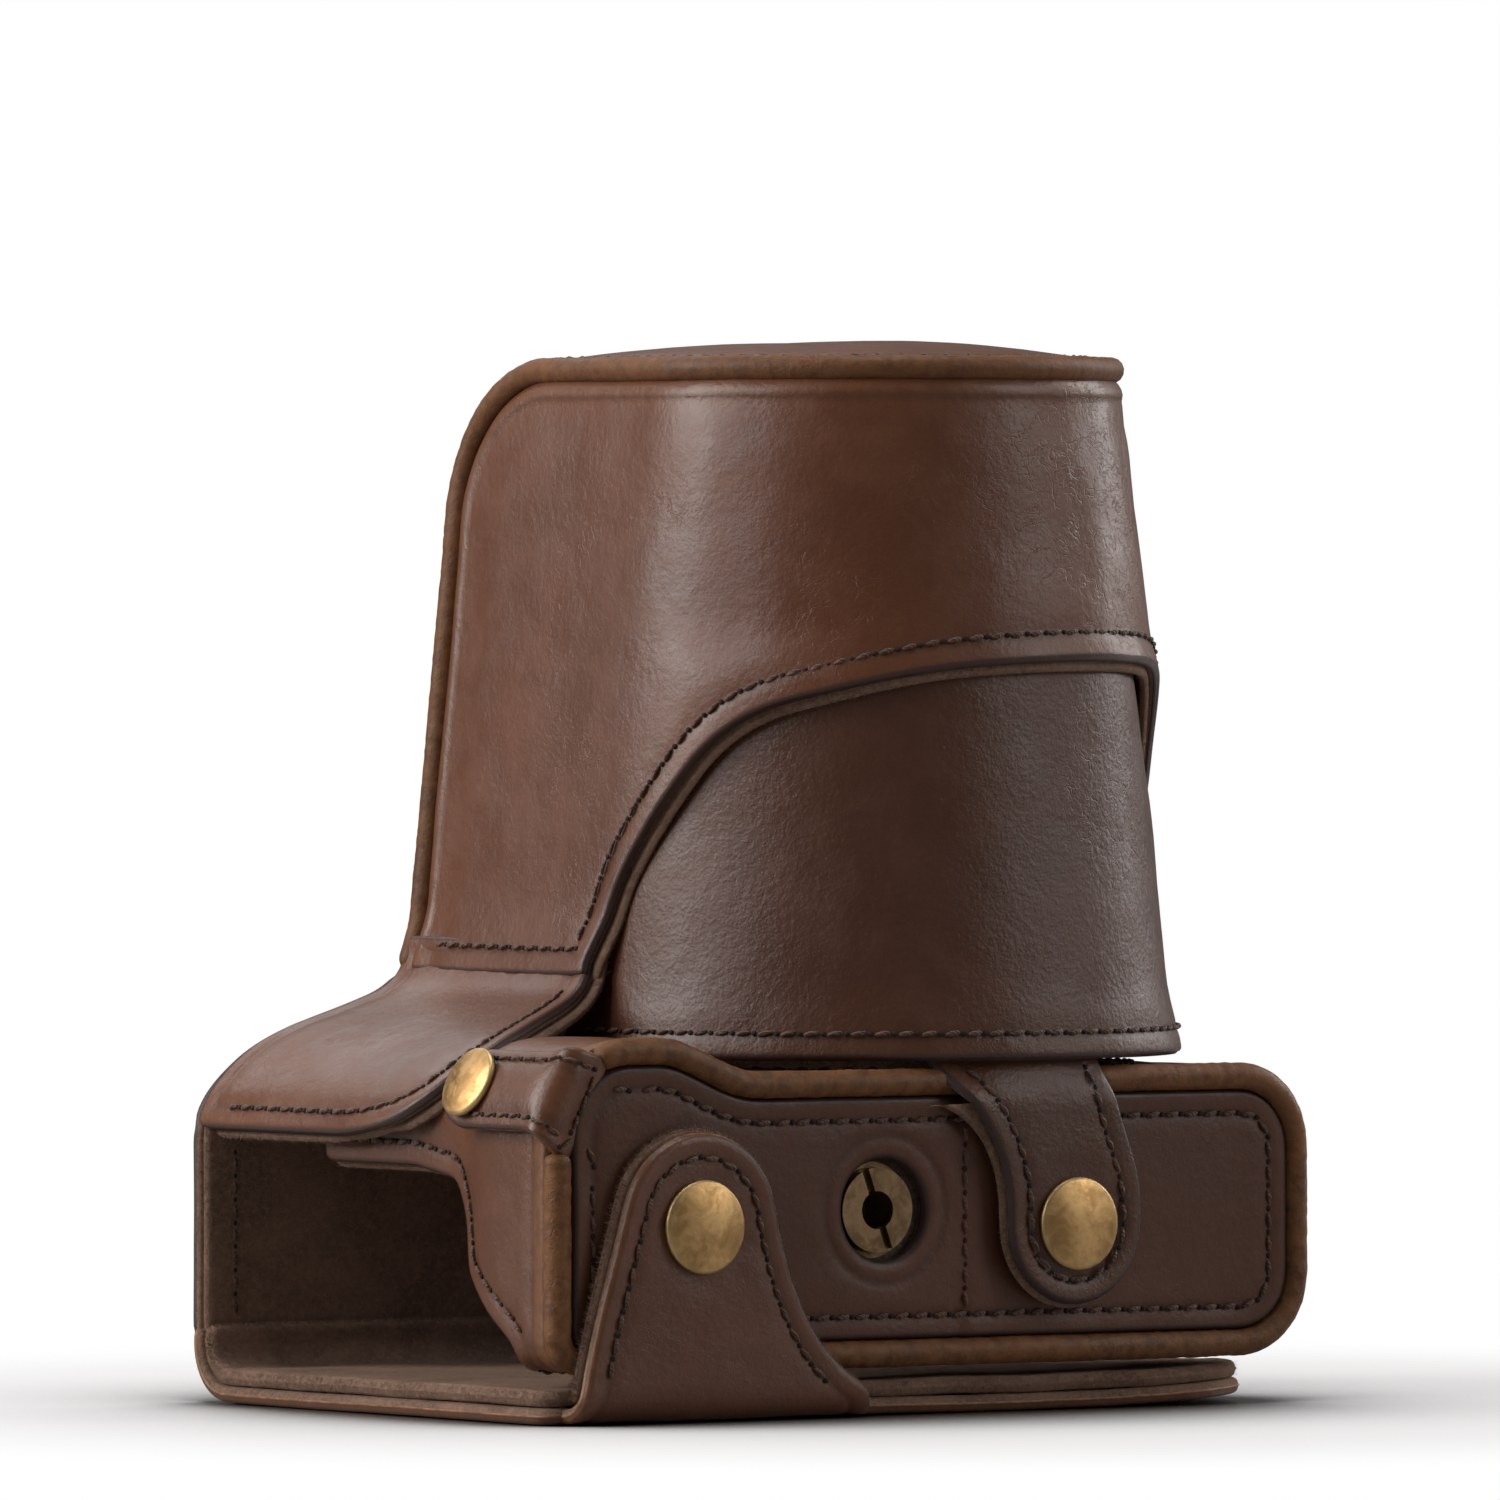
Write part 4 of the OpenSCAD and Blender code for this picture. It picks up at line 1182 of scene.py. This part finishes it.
def piping_path():
    a, y, z = cap_path(np.linspace(cap_end - 0.5, 0.0, 220))
    w = nose_half(z) - 1.35 + 1.2 * smoothstep(z, 66, 58)
    y = y - PIPE_DROP * np.sin(a)
    z = z - PIPE_DROP * np.cos(a)
    left = np.stack([-w, y, z], 1)
    t = np.radians(np.linspace(180, 360, 90))[1:-1]
    front = np.stack([w[-1] * np.cos(t), w[-1] * np.sin(t), np.full(len(t), z[-1])], 1)
    return np.vstack([left, front, left[::-1] * [-1, 1, 1]])


b = Build()
tube(b, piping_path(), PIPE_R, crease=0.05, seed=3, wear=0.35)
b.make("nose_piping_cord", [CORD], "nose_cover", ("nose_piping",))

# ---------------------------------------------------------------- hood

HOOD_BACK = COVER_Y - 0.9


def hood_outline_left(grow=0.0):
    s = hood_left_base.s
    hem = bezier((12, HOOD_Z - 0.4), (2, HOOD_Z), (-6.0, HOOD_Z + 2.2), (-8.3, HOOD_Z + 8), 14)
    over = bezier((-68.5, -9.0), (-62, -8.4), (-54, -3.6), (-43.0, 2.2), 14)
    low = np.stack([np.interp(hem[:, 1], HOOD_LEFT[:, 1], s), hem[:, 0]], 1)
    high = np.stack([np.interp(over[:, 0], HOOD_LEFT[:, 0], s), over[:, 1]], 1)
    low[:, 0] -= grow * 0.5
    low[:, 1] -= grow * 0.9 * np.linspace(0, 1, len(low))
    high[:, 1] -= grow
    return np.vstack([[[0.2 - grow, HOOD_BACK], [0.2 - grow, 14]], low, high,
                      [[s[-1], 3.4 - grow], [s[-1], HOOD_BACK]]])


def hood_outline_right(grow=0.0):
    s = hood_right_base.s
    hem = bezier((ARM_Y + 20, HOOD_Z - 0.3), (ARM_Y + 8, HOOD_Z - 0.3), (ARM_Y + 9, TRAY_Z1 + 3),
                 (ARM_Y + 1, TRAY_Z1 + 3.4), 16)
    tail = bezier((ARM_Y + 1, TRAY_Z1 + 3.4), (ARM_Y - 6, TRAY_Z1 + 3.8), (8, 55), (3.0, 62), 12)
    edge = np.vstack([hem, tail[1:]])
    low = np.stack([np.interp(edge[:, 1], HOOD_RIGHT[:, 1], s) - grow, edge[:, 0] - grow * 0.4], 1)
    return np.vstack([[[0.2 - grow, HOOD_BACK]], low, [[s[-1], 3.4 - grow], [s[-1], HOOD_BACK]]])


def hood_runs(loop, base):
    """Seam of a hood side, open at the back and along the top."""
    return inset_runs(loop, 3.2, lambda u, v: (v < COVER_Y - 5) & (u < base.s[-1] - 6))


left_loop = soften(hood_outline_left(), 1.0, 2)
skin("hood_grip_side_leather", SKIN, hood_left_base, [left_loop], 1.8, "nose_cover", ("hood",),
     [(hood_runs(left_loop, hood_left_base), 0.1, 13)], swell=0.3, size=20, seed=12, groove=3.2,
     wear=lambda u, v, d: 0.35 * np.exp(-d / 1.3) + 0.12 * smoothstep(u, 14, 6))
lining("hood_grip_side_suede", hood_left_base, [soften(hood_outline_left(0.9), 1.1, 2)], 1.4, -1.82,
       "nose_cover", ("hood_lining",), (8, 0.6, 22), swell=0.15, seed=14, grid=3.2,
       rings=RINGS_LINING, edge_r=0.5)

right_loop = soften(hood_outline_right(), 1.0, 2)
skin("hood_far_side_leather", SKIN, hood_right_base, [right_loop], 1.8, "nose_cover", (),
     [(hood_runs(right_loop, hood_right_base), 0.1, 16)],
     swell=0.25, seed=15, groove=3.2, grid=2.6, wear=edge_wear(0.35, 1.3))
lining("hood_far_side_suede", hood_right_base, [soften(hood_outline_right(0.8), 1.2, 2)], 1.3, -1.82,
       "nose_cover", (), swell=0.1, seed=17, grid=3.6, rings=RINGS_WIDE, edge_r=0.45)

# Back wall: top panel below the fold, the hood's back above it, one sheet creased along the fold
back_plane = plane(COVER_Y, False)
FOLD_Z = 37.4
HOOD_TOP_LEFT = HOOD_LEFT[HOOD_LEFT[:, 1] < 58.0]
HOOD_TOP_RIGHT = HOOD_RIGHT[HOOD_RIGHT[:, 1] < 58.0]


def back_outline(d, z0):
    left = np.array([[x + d, z - d * 0.8] for x, z in HOOD_TOP_LEFT])[::-1]
    right = np.array([[-x - d, z - d * 0.6] for x, z in HOOD_TOP_RIGHT])
    x0, x1, top = -COVER_X + d, COVER_FAR - d, HOOD_TOP_LEFT[-1, 0] + 1.5
    return np.vstack([[[x1, z0], [x1, 34.0], [-HOOD_RIGHT[0, 0] - d, 37.2]], right,
                      [[-top, 57.2], [top, 57.2]], left[:-1], [[x0, 37.0], [x0, z0]]])


back_loop = soften(back_outline(0.1, 8.6), 1.0, 2)
NOSE_FOLD = ("half_case", "nose_cover", (0, COVER_Y, FOLD_Z - 3), (0, COVER_Y, FOLD_Z + 3))
skin("top_panel_and_hood_back_leather", SKIN, back_plane, [back_loop], 1.9, None, ("top_panel",),
     [(inset_runs(back_loop, 3.2), 0.08, 19)], NOSE_FOLD,
     swell=0.3, size=24, seed=18, groove=3.2, grid=2.6,
     relief=lambda u, v: -0.35 * np.exp(-((v - FOLD_Z) / 1.1) ** 2),
     wear=lambda u, v, d: 0.3 * np.exp(-d / 1.3) + 0.2 * np.exp(-((v - FOLD_Z) / 2.0) ** 2))

back_in = soften(back_outline(0.5, 8.8), 1.1, 2)
b = Build()
sheet(b, back_plane, [back_in], 1.3, lift=-1.95, swell=0.15, seed=20, groove=0, grid=3.2,
      rings=RINGS_LINING, edge_r=0.45)
inner_seam = np.stack([np.full(30, -73.6), np.linspace(11, 34, 30)], 1)
stitches(b, plane(COVER_Y - 3.3), [inner_seam], 0.05, 23)
fuzz(b, back_plane, back_in, 1.3, -1.95, 7, 0.5, 24)
b.make("top_panel_suede", NAP, None, ("top_panel_lining",), NOSE_FOLD)

# ---------------------------------------------------------------- rear panel and tongue

s_front = at_path(rear_base0, 0, rear_front)
s_end = s_front + (COVER_Y - BEND_R - rear_front) + BEND_R * PI / 2 + 2.2
REAR_CORNER_R = 18.0


def rear_outline(d):
    r = REAR_CORNER_R - d
    x0, x1, v0 = -COVER_X + d, COVER_FAR - d, s_front + d
    near_far = arc(x1 - r, v0 + r, r, -90, 0, 16)
    return np.vstack([[[x0 + 2, v0]], near_far, [[x1, s_end], [x0, s_end], [x0, v0 + 2]]])


rear_loop = soften(rear_outline(0.0), 1.0, 2)
# The seam stops under the tongue's foot
rear_runs = inset_runs(rear_loop, 3.4, lambda u, v: ~((u > -72) & (u < -23) & (v < s_front + 9)))
REAR_FOLD = ("rear_cover", "half_case", (0, COVER_Y - 10.2, 0), (0, COVER_Y, 10))
skin("rear_panel_leather", SKIN_WORN, rear_base, [rear_loop], 2.2, None, ("rear_panel",),
     [(rear_runs, 0.05, 26)], REAR_FOLD,
     swell=0.2, size=26, seed=25, groove=3.4, edge_r=0.95, grid=2.8, wear=edge_wear(0.85, 1.1))
lining("rear_panel_suede", rear_base, [soften(rear_outline(0.35), 1.0, 2)], 2.3, -2.25,
       None, ("rear_panel_lining",), (18, 0.9, 28), REAR_FOLD,
       swell=0.25, size=14, seed=27, edge_r=0.95, grid=2.6, rings=(0.2, 0.5, 0.9, 1.6, 2.8))

TONGUE_R = 12.4
t_flat = at_path(tongue_base, 0, rear_front)
t_up = t_flat + 2 * PI
t_lift = t_up - 4


def tongue_outline(grow=0.0, foot=-6.0):
    r = TONGUE_R + grow
    cx, cz = TONGUE_SNAP + [0, t_lift]
    z0 = 4 + t_lift
    x0, x1 = tongue_lo[0] - grow, tongue_hi[0] + grow
    up = bezier((x0, z0), (x0 + 1.7, z0 + 9), (cx - r - 2.6, cz - 8), (cx - r * 0.94, cz + r * 0.34), 16)
    top = arc(cx, cz, r, 160, 20, 26)[1:-1]
    down = bezier((cx + r * 0.94, cz + r * 0.34), (cx + r + 1.4, cz - 8), (-38.5 + grow, z0 + 5),
                  (x1, z0), 18)
    return np.vstack([[[x0 - 1.6, t_flat + foot]], [[x0 - 1.2, t_flat]], up, top, down,
                      [[x1 + 2.2, t_flat + 0.4]], [[x1 + 2.6, t_flat + foot]]])


def tongue_wear(u, v, d):
    """Rubbed along the grip side and across the bend."""
    return (0.8 * np.exp(-d / 1.2) * smoothstep(-u, 46, 60) + 0.35 * np.exp(-d / 0.9)
            + 0.25 * np.exp(-((v - t_flat - 3.2) / 3.0) ** 2))


tongue_loop = soften(tongue_outline(), 1.0, 2)
TONGUE_FOLD = ("rear_cover", "tongue", (-47.6, rear_front + 1.5, 0), (-47.6, -OVER_OUT, 5.5))
skin("tongue_leather", SKIN_WORN, tongue_base, [tongue_loop], 2.0, None, ("rear_tongue",),
     [(inset_runs(tongue_loop, 3.2, lambda u, v: v > t_up + 0.5), 0.1, 30)], TONGUE_FOLD,
     swell=0.3, size=16, seed=29, groove=3.2, edge_r=0.85, grid=2.2,
     relief=ring_dent(TONGUE_SNAP, t_lift), wear=tongue_wear)
tongue_in = soften(tongue_outline(0.6, -4.0), 1.0, 2)
tongue_in = soften(tongue_in[tongue_in[:, 1] > t_flat + 3.0], 1.0, 1)
lining("tongue_suede", tongue_base, [tongue_in], 1.1, -2.0, None, ("rear_tongue_lining",),
       (22, 0.9, 32), TONGUE_FOLD, swell=0.15, seed=31, edge_r=0.45, grid=3.0,
       rings=(0.25, 0.8, 1.8, 3.0))

# ---------------------------------------------------------------- lens skirt and front tab

SKIRT_U = UNROLL * math.radians(106)
skirt_box = np.array([[-SKIRT_U, SKIRT_LOW], [SKIRT_U, SKIRT_LOW], [SKIRT_U, 110.5], [-SKIRT_U, 110.5]])
skirt_loop = soften(skirt_box, 1.1, 1)
skin("lens_skirt_leather", SKIN_SKIRT, skirt_base, [skirt_loop], 1.6, "nose_cover", ("lens_skirt",),
     [(inset_runs(skirt_loop, 3.4, lambda u, v: v < 60), 0.1, 34)],
     swell=0.4, size=22, seed=33, groove=3.4, grid=2.6, wear=edge_wear(0.3, 1.2),
     relief=lambda u, v: 0.45 * np.exp(-((u - 18) / 9) ** 2) * smoothstep(v, 60, 100))
skirt_in = soften(skirt_box + [[0.3, 0.5], [-0.3, 0.5], [-0.3, -0.3], [0.3, -0.3]], 1.6, 1)
lining("lens_skirt_suede", skirt_base, [skirt_in], 0.9, -1.62, "nose_cover", ("lens_skirt_lining",),
       swell=0.1, seed=35, grid=4.0, rings=RINGS_SPARSE, edge_r=0.35)

TAB_R = 10.8


def tab_outline(grow=0.0, top=50.2):
    r = TAB_R + grow
    cx, cz = TAB_SNAP
    left = bezier((-18.2 - grow, top), (-12.6 - grow, 41.5), (-5.4 - grow, 37), (cx - r, cz + 1), 16)
    low = arc(cx, cz, r, 180, 355, 30)[1:]
    right = bezier((cx + r, cz + 1), (cx + r + 0.3, 35), (10.6 + grow, 38), (11.2 + grow, top), 16)
    return np.vstack([left, low, right])


tab_loop = soften(tab_outline(), 1.0, 2)
TAB_FOLD = ("nose_cover", "tab", (0, -41.5, 47.6), (0, -OVER_OUT, 44.6))
skin("front_tab_leather", SKIN_SKIRT, tab_base, [tab_loop], 1.6, None, ("front_tab",),
     [(inset_runs(tab_loop, 3.2, lambda u, v: v < 46.6), 0.1, 37)], TAB_FOLD,
     swell=0.25, size=14, seed=36, groove=3.2, edge_r=0.7, grid=2.0, relief=ring_dent(TAB_SNAP),
     wear=edge_wear(0.25, 1.2))
lining("front_tab_suede", tab_base, [soften(tab_outline(0.5, 41.8), 1.0, 2)], 1.0, -1.62,
       None, ("front_tab_lining",), (6, 0.4, 39), TAB_FOLD,
       swell=0.1, seed=38, edge_r=0.4, grid=2.8, rings=(0.25, 0.8, 1.8))

# ---------------------------------------------------------------- bottom half

FLAP_FOLD = ("flap", "half_case", (-19.2, -FACE_Y, 26), (-11.4, -FACE_Y, 26))
base_face = plane(-FACE_Y)


def tray_inset(d, step=1.0, rounds=1):
    p = resample(TRAY[:-1], 0.6, True)
    return soften(p + inward(p) * d, step, rounds)


panel_loop = tray_inset(3.5, 1.0, 2)
HOLE_AT = np.array([SCREW[0] + 1.0, SCREW[1]])
HOLE_R = 6.9
screw_hole = circle(*HOLE_AT, HOLE_R)
seam_u = -11.6


def panel_relief(u, v):
    seam = -0.45 * np.exp(-((u - seam_u) / 0.5) ** 2) + 0.16 * np.exp(-((u - seam_u - 2.2) / 1.6) ** 2)
    bands = 0.08 * np.sin((u - 20) / 3.4) * smoothstep(u, 16, 30)
    well = -0.3 * np.exp(-((np.hypot(u - HOLE_AT[0], v - HOLE_AT[1]) - HOLE_R) / 1.0) ** 2)
    return seam + bands + well


runs = inset_runs(panel_loop, 3.0, lambda u, v: ~((u < -64) & (v > 33)), others=[screw_hole])
runs.append(np.stack([np.full(40, seam_u + 0.9), np.linspace(TRAY_Z0 + 6.2, TRAY_Z1 - 6.2, 40)], 1))
# Two rows lead from the seam's ends up onto the grip strap
ends = [(r[0], r[0] - r[3]) for r in runs] + [(r[-1], r[-1] - r[-4]) for r in runs]
strap_dir, strap_side = strap_er[[0, 2]], strap_et[[0, 2]]
for k in (-4.4, 4.4):
    start = np.array(CORNER) + strap_dir * 6.0 + strap_side * k
    end, way = min(ends, key=lambda e: np.linalg.norm(e[0] - start))
    way = way / np.linalg.norm(way)
    reach = np.linalg.norm(end - start) / 3
    runs.append(bezier(start, start - strap_dir * reach, end + way * reach, end + way * 1.2, 24))
skin("base_leather", SKIN_BASE, base_face, [panel_loop, screw_hole], 1.9, None,
     ("base_panel", "battery_flap"), [(runs, 0.08, 41)], FLAP_FOLD,
     swell=0.3, size=18, seed=40, groove=3.0, edge_r=0.6, grid=2.0, relief=panel_relief,
     wear=edge_wear(0.2, 1.1))
lining("base_leather_backing_suede", plane(-FACE_Y + 1.95),
       [tray_inset(4.2, 1.6, 1), circle(SCREW[0] + 0.8, SCREW[1], 7.4)], 0.5, 0.0,
       None, ("battery_flap_lining",), None, FLAP_FOLD,
       swell=0.0, seed=42, edge_r=0.15, grid=4.0, rings=(0.6, 2.0))

# Welt round the base, open where the grip strap crosses it
welt = resample(tray_inset(1.5, 0.6, 1), 0.5, True)
rel = welt - np.array(CORNER)
across = rel[:, 0] * strap_side[0] + rel[:, 1] * strap_side[1]
out_of = rel[:, 0] * strap_dir[0] + rel[:, 1] * strap_dir[1]
free = ~((np.abs(across) < 6.6) & (out_of > 5))
first = int(np.argmin(free))
welt = np.roll(welt, -first, 0)[np.roll(free, -first)]
b = Build()
tube(b, np.stack([welt[:, 0], np.full(len(welt), -FACE_Y + 1.0), welt[:, 1]], 1), 1.85,
     crease=0.055, seed=6, wear=0.5)
b.make("base_welt_cord", [CORD], "half_case", ("tray_welt",))

# Side wall, a strip round the outline with the lens cut-out and the open rear
TRAY_LEN = TRAY_S[-1]
FRONT_Y = -FACE_Y + 1.9


def side_outline(g=0.0):
    """Outline of the side wall, grown by g at its open edges."""
    at = tray_u
    x0, x1, z0, z1 = -GRIP_X, FAR_X, TRAY_Z0, TRAY_Z1
    pts = [[0.3, FRONT_Y], [0.3, -23 - g], [at(-64, z0), -23 - g], [at(-70, z0), -27 - g],
           [at(x0, 10), -29.5 - g], [at(x0, 15), -22 - g], [at(x0, 19), -15.5 - g],
           [at(x0, 27), -13.5 - g], [at(x0, 31.5), -10 - g], [at(x0, 33.2) + g, 0], [at(x0, 33.2) + g, ARM_Y - g],
           [at(-LENS_CUT_R, z1) - g, ARM_Y - g], [at(-LENS_CUT_R, z1) - g, 2]]
    pts += [[at(x, z1), y] for x, y in arc(0, 0, LENS_CUT_R + g, 180, 360, 40)]
    pts += [[at(LENS_CUT_R, z1) + g, ARM_Y - g], [at(x1, 36.5), ARM_Y - g], [at(x1, 34), 14 - g],
            [at(x1, 24), -8 - g], [at(x1, z0 + 9), -16 - g], [at(34, z0), -23 - g],
            [TRAY_LEN - 0.3, -23 - g], [TRAY_LEN - 0.3, FRONT_Y]]
    return np.array(pts, float)


def side_wear(u, v, d):
    """Rubbed round the grip end next to the base, and along the cut edges."""
    grip = (u > tray_u(-60, TRAY_Z0)) * (u < tray_u(-58, TRAY_Z1 + 3))
    return 0.75 * smoothstep(v, -30, FRONT_Y) * grip + 0.4 * np.exp(-d / 1.2)


def side_sewn(u, v):
    return (v > FRONT_Y + 5) & (u > 3) & (u < TRAY_LEN - 3)


side_loop = soften(side_outline(), 1.0, 3)
skin("side_wall_leather", SKIN_TRAY, tray_base, [side_loop], 1.9, "half_case", ("tray_shell",),
     [(inset_runs(side_loop, 3.1, side_sewn), 0.08, 44)], swell=0.25, size=18, seed=43, wear=side_wear)
lining("side_wall_suede", tray_base, [soften(side_outline(-0.7), 1.2, 3)], 1.2, -1.92,
       "half_case", ("tray_lining",), (5, 0.5, 46), swell=0.1, seed=45, edge_r=0.4, grid=3.4,
       rings=RINGS_WIDE)

door = soften(np.array([[-69.5, 14.5], [-36.5, 14.5], [-36.5, 37.5], [-69.5, 37.5]]), 1.0, 3)
lining("base_inner_suede", plane(-FACE_Y + 4.25),
       [tray_inset(3.8, 1.4, 2), circle(*SCREW, 7.0), door, circle(*TAB_SNAP, 3.8)], 1.15, 0.0,
       "half_case", ("base_lining",), swell=0.0, seed=47, edge_r=0.4, grid=3.2, rings=RINGS_WIDE)

# ---------------------------------------------------------------- grip strap

STRAP_HALF = 6.1
STRAP_SNAP_Y = -21.0
strap_head = STRAP_S[-1] - (STRAP_PATH[-1, 1] - STRAP_SNAP_Y)
strap_outline = np.vstack([[[-(STRAP_HALF + 1.4), 0.4], [STRAP_HALF + 1.4, 0.4]],
                           [[STRAP_HALF + 0.6, 6.5]], [[STRAP_HALF, 12]],
                           arc(0, strap_head, STRAP_HALF, 0, 180, 22),
                           [[-STRAP_HALF, 12]], [[-STRAP_HALF - 0.6, 6.5]]])
STRAP_FOLD = ("flap", "strap", tuple(np.array([CORNER[0], -39.5, CORNER[1]]) + strap_er * 10.5),
              tuple(np.array([CORNER[0], -34.5, CORNER[1]]) + strap_er * 14.9))
strap_loop = soften(strap_outline, 0.8, 1)
skin("grip_strap_leather", [LEATHER_TRAY, EDGE_TAN, EDGE, THREAD, HOLE_SHADE], strap_base, [strap_loop], 1.8,
     None, ("grip_strap",), [(inset_runs(strap_loop, 1.9, lambda u, v: v > 1.6), 0.08, 49, 2.9, 0.3)],
     STRAP_FOLD, swell=0.2, size=12, seed=48, groove=2.0, dip=0.18, edge_r=0.6, grid=1.5,
     rings=(0.12, 0.35, 0.7, 1.2, 1.7, 2.0, 2.4, 3.2),
     wear=lambda u, v, d: 0.5 * np.exp(-d / 0.9) + 0.35 * smoothstep(v, 14, 5))

# ---------------------------------------------------------------- snaps and screw

CAP_EDGE = 0.9
CAP_WEAR = [0, 0, 0, 0.3, 0.8, 1.0, 0.7, 0.2] + [0.0] * 8


def cap_profile(r, dome):
    """Radius and height of a snap cap from its neck over the rim to the crown."""
    pts = [(0.01, -1.2), (r * 0.3, -1.2), (r * 0.3, -0.15), (r - 0.5, -0.15), (r - 0.12, 0.05),
           (r, CAP_EDGE * 0.45), (r - 0.14, CAP_EDGE * 0.85), (r - 0.5, CAP_EDGE)]
    for k in range(1, 9):
        q = (r - 0.5) * (1 - k / 8)
        pts.append((max(q, 0.01), CAP_EDGE + dome * (1 - (q / (r - 0.5)) ** 2)))
    return pts


STRAP_CAP_AT = np.array([CORNER[0], STRAP_SNAP_Y, CORNER[1]]) + strap_er * (STRAP_OUT + 0.05)
for body, at, axis, r, dome in (
        ("tongue", (TONGUE_SNAP[0], -OVER_OUT + 0.1, TONGUE_SNAP[1]), (0, -1, 0), 6.3, 0.75),
        ("tab", (TAB_SNAP[0], -OVER_OUT + 0.1, TAB_SNAP[1]), (0, -1, 0), 6.3, 0.75),
        ("strap", STRAP_CAP_AT, strap_er, 5.0, 0.6)):
    b = Build()
    lathe(b, cap_profile(r, dome), at, axis, CAP_WEAR)
    b.make(body + "_snap_cap", [BRASS], body, (body + "_cap",))


def dress(name, mat):
    """Gives a frame piece that stays as it is its material."""
    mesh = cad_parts[name].data
    mesh.materials.clear()
    mesh.materials.append(mat)
    return mesh


for body in ("tongue", "tab", "strap"):
    dress(body + "_socket", BRASS_PLAIN)
    dress(body + "_stud", BRASS_PLAIN)
for name, mat in (("tripod_screw", BRASS_DARK), ("screw_eyelet", BRASS_DARK), ("base_board", BOARD)):
    for p in dress(name, mat).polygons:
        p.use_smooth = False
for name in ("tripod_screw", "screw_eyelet"):
    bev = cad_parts[name].modifiers.new("softened_edges", "BEVEL")
    bev.width = 0.3 * MM
    bev.segments = 3
    bev.limit_method = "ANGLE"
    bev.angle_limit = math.radians(40)

# ---------------------------------------------------------------- floor, light and camera


def stage_material():
    """Pale floor that fades into the white background away from the object, with a painted contact shadow that
    darkens it close to the object.
    """
    k = Nodes("pale_floor_painted_shadow")
    p = k.node("TexCoord").outputs["Object"]
    seen = k.node("LightPath").outputs["Is Camera Ray"]
    contact_shadow_ao = k.node("AmbientOcclusion", samples=12)
    contact_shadow_ao.inputs["Distance"].default_value = 0.07
    pale = k.mix(k.noise(p, 0.5, 2), (0.9, 0.88, 0.875), (0.92, 0.9, 0.895))
    # Painted contact shadow: the floor's colour goes almost black where ambient occlusion finds the object close
    # by
    clear = k.span(contact_shadow_ao.outputs["AO"], 0.55, 1.0)
    pale = k.mix(clear, (0.03, 0.025, 0.022), pale)
    tone = k.mix(seen, (0.3, 0.29, 0.285), pale)
    k.set(Base_Color=tone, Roughness=0.3, Specular_IOR_Level=0.3)
    far = k.node("VectorMath", operation="LENGTH")
    k.put(far.inputs[0], p)
    fade = k.span(far.outputs["Value"], 0.1, 0.2, 0.5, 1.0)
    glow = k.node("Emission")
    glow.inputs["Color"].default_value = (1, 1, 1, 1)
    blend = k.node("MixShader")
    # The white glow is held back where the painted shadow is
    k.put(blend.inputs[0], k.math("MULTIPLY", k.math("MULTIPLY", fade, seen), clear))
    k.nt.links.new(k.bsdf.outputs[0], blend.inputs[1])
    k.nt.links.new(glow.outputs[0], blend.inputs[2])
    k.nt.links.new(blend.outputs[0], k.out.inputs[0])
    return k.mat


bpy.ops.mesh.primitive_plane_add(size=12, location=(0, 0, -0.0002))
floor = bpy.context.object
floor.name = "floor"
floor.data.materials.append(stage_material())

world = bpy.data.worlds.new("studio")
bpy.context.scene.world = world
world.use_nodes = True
tree = world.node_tree
bg = tree.nodes["Background"]
bg.inputs[0].default_value = (1, 1, 1, 1)
seen = tree.nodes.new("ShaderNodeLightPath")
level = tree.nodes.new("ShaderNodeMapRange")
level.inputs["To Min"].default_value = 0.13
level.inputs["To Max"].default_value = 1.0
tree.links.new(seen.outputs["Is Camera Ray"], level.inputs["Value"])
tree.links.new(level.outputs[0], bg.inputs[1])


def aimed(pos):
    return (Vector(AIM) - Vector(pos)).to_track_quat("-Z", "Y").to_euler()


def area(name, pos, size_x, size_y, power, color):
    data = bpy.data.lights.new(name, "AREA")
    data.shape = "RECTANGLE"
    data.size, data.size_y = size_x, size_y
    data.energy = power
    data.color = color
    ob = bpy.data.objects.new(name, data)
    ob.location = pos
    ob.rotation_euler = aimed(pos)
    bpy.context.scene.collection.objects.link(ob)


def view_dir(azimuth, elevation, dist):
    """Point at a bearing round from -Y and a height angle, seen from the object's middle."""
    a, e = math.radians(azimuth), math.radians(elevation)
    return (dist * math.sin(a) * math.cos(e), -dist * math.cos(a) * math.cos(e),
            dist * math.sin(e) + 0.07)


AIM = (-0.014, 0.007, 0.0884)
WARM = (1.0, 0.97, 0.95)
area("left", view_dir(-119, 25, 1.3), 0.6, 0.9, 13, WARM)
area("strip", view_dir(-87, 27, 1.3), 0.2, 0.8, 3.8, (0.98, 0.97, 1.0))
area("fill", view_dir(42, 25, 1.4), 0.6, 0.9, 5.0, WARM)
area("right", view_dir(92, 24, 1.3), 0.5, 0.9, 6.5, WARM)
area("back", (0.1, 1.05, 0.85), 0.9, 0.4, 2.5, (1.0, 0.98, 0.97))
area("top", (0, 0.1, 1.5), 0.8, 0.8, 8, (1, 1, 1))

cam_data = bpy.data.cameras.new("camera")
cam_data.sensor_width = 36
cam_data.lens = 423
cam_data.clip_start = 0.1
cam_data.clip_end = 50
cam = bpy.data.objects.new("camera", cam_data)
cam.location = (-1.380, -1.966, 0.1126)
cam.rotation_euler = aimed(cam.location)
bpy.context.scene.collection.objects.link(cam)
bpy.context.scene.camera = cam
bpy.context.scene.view_settings.view_transform = "Standard"
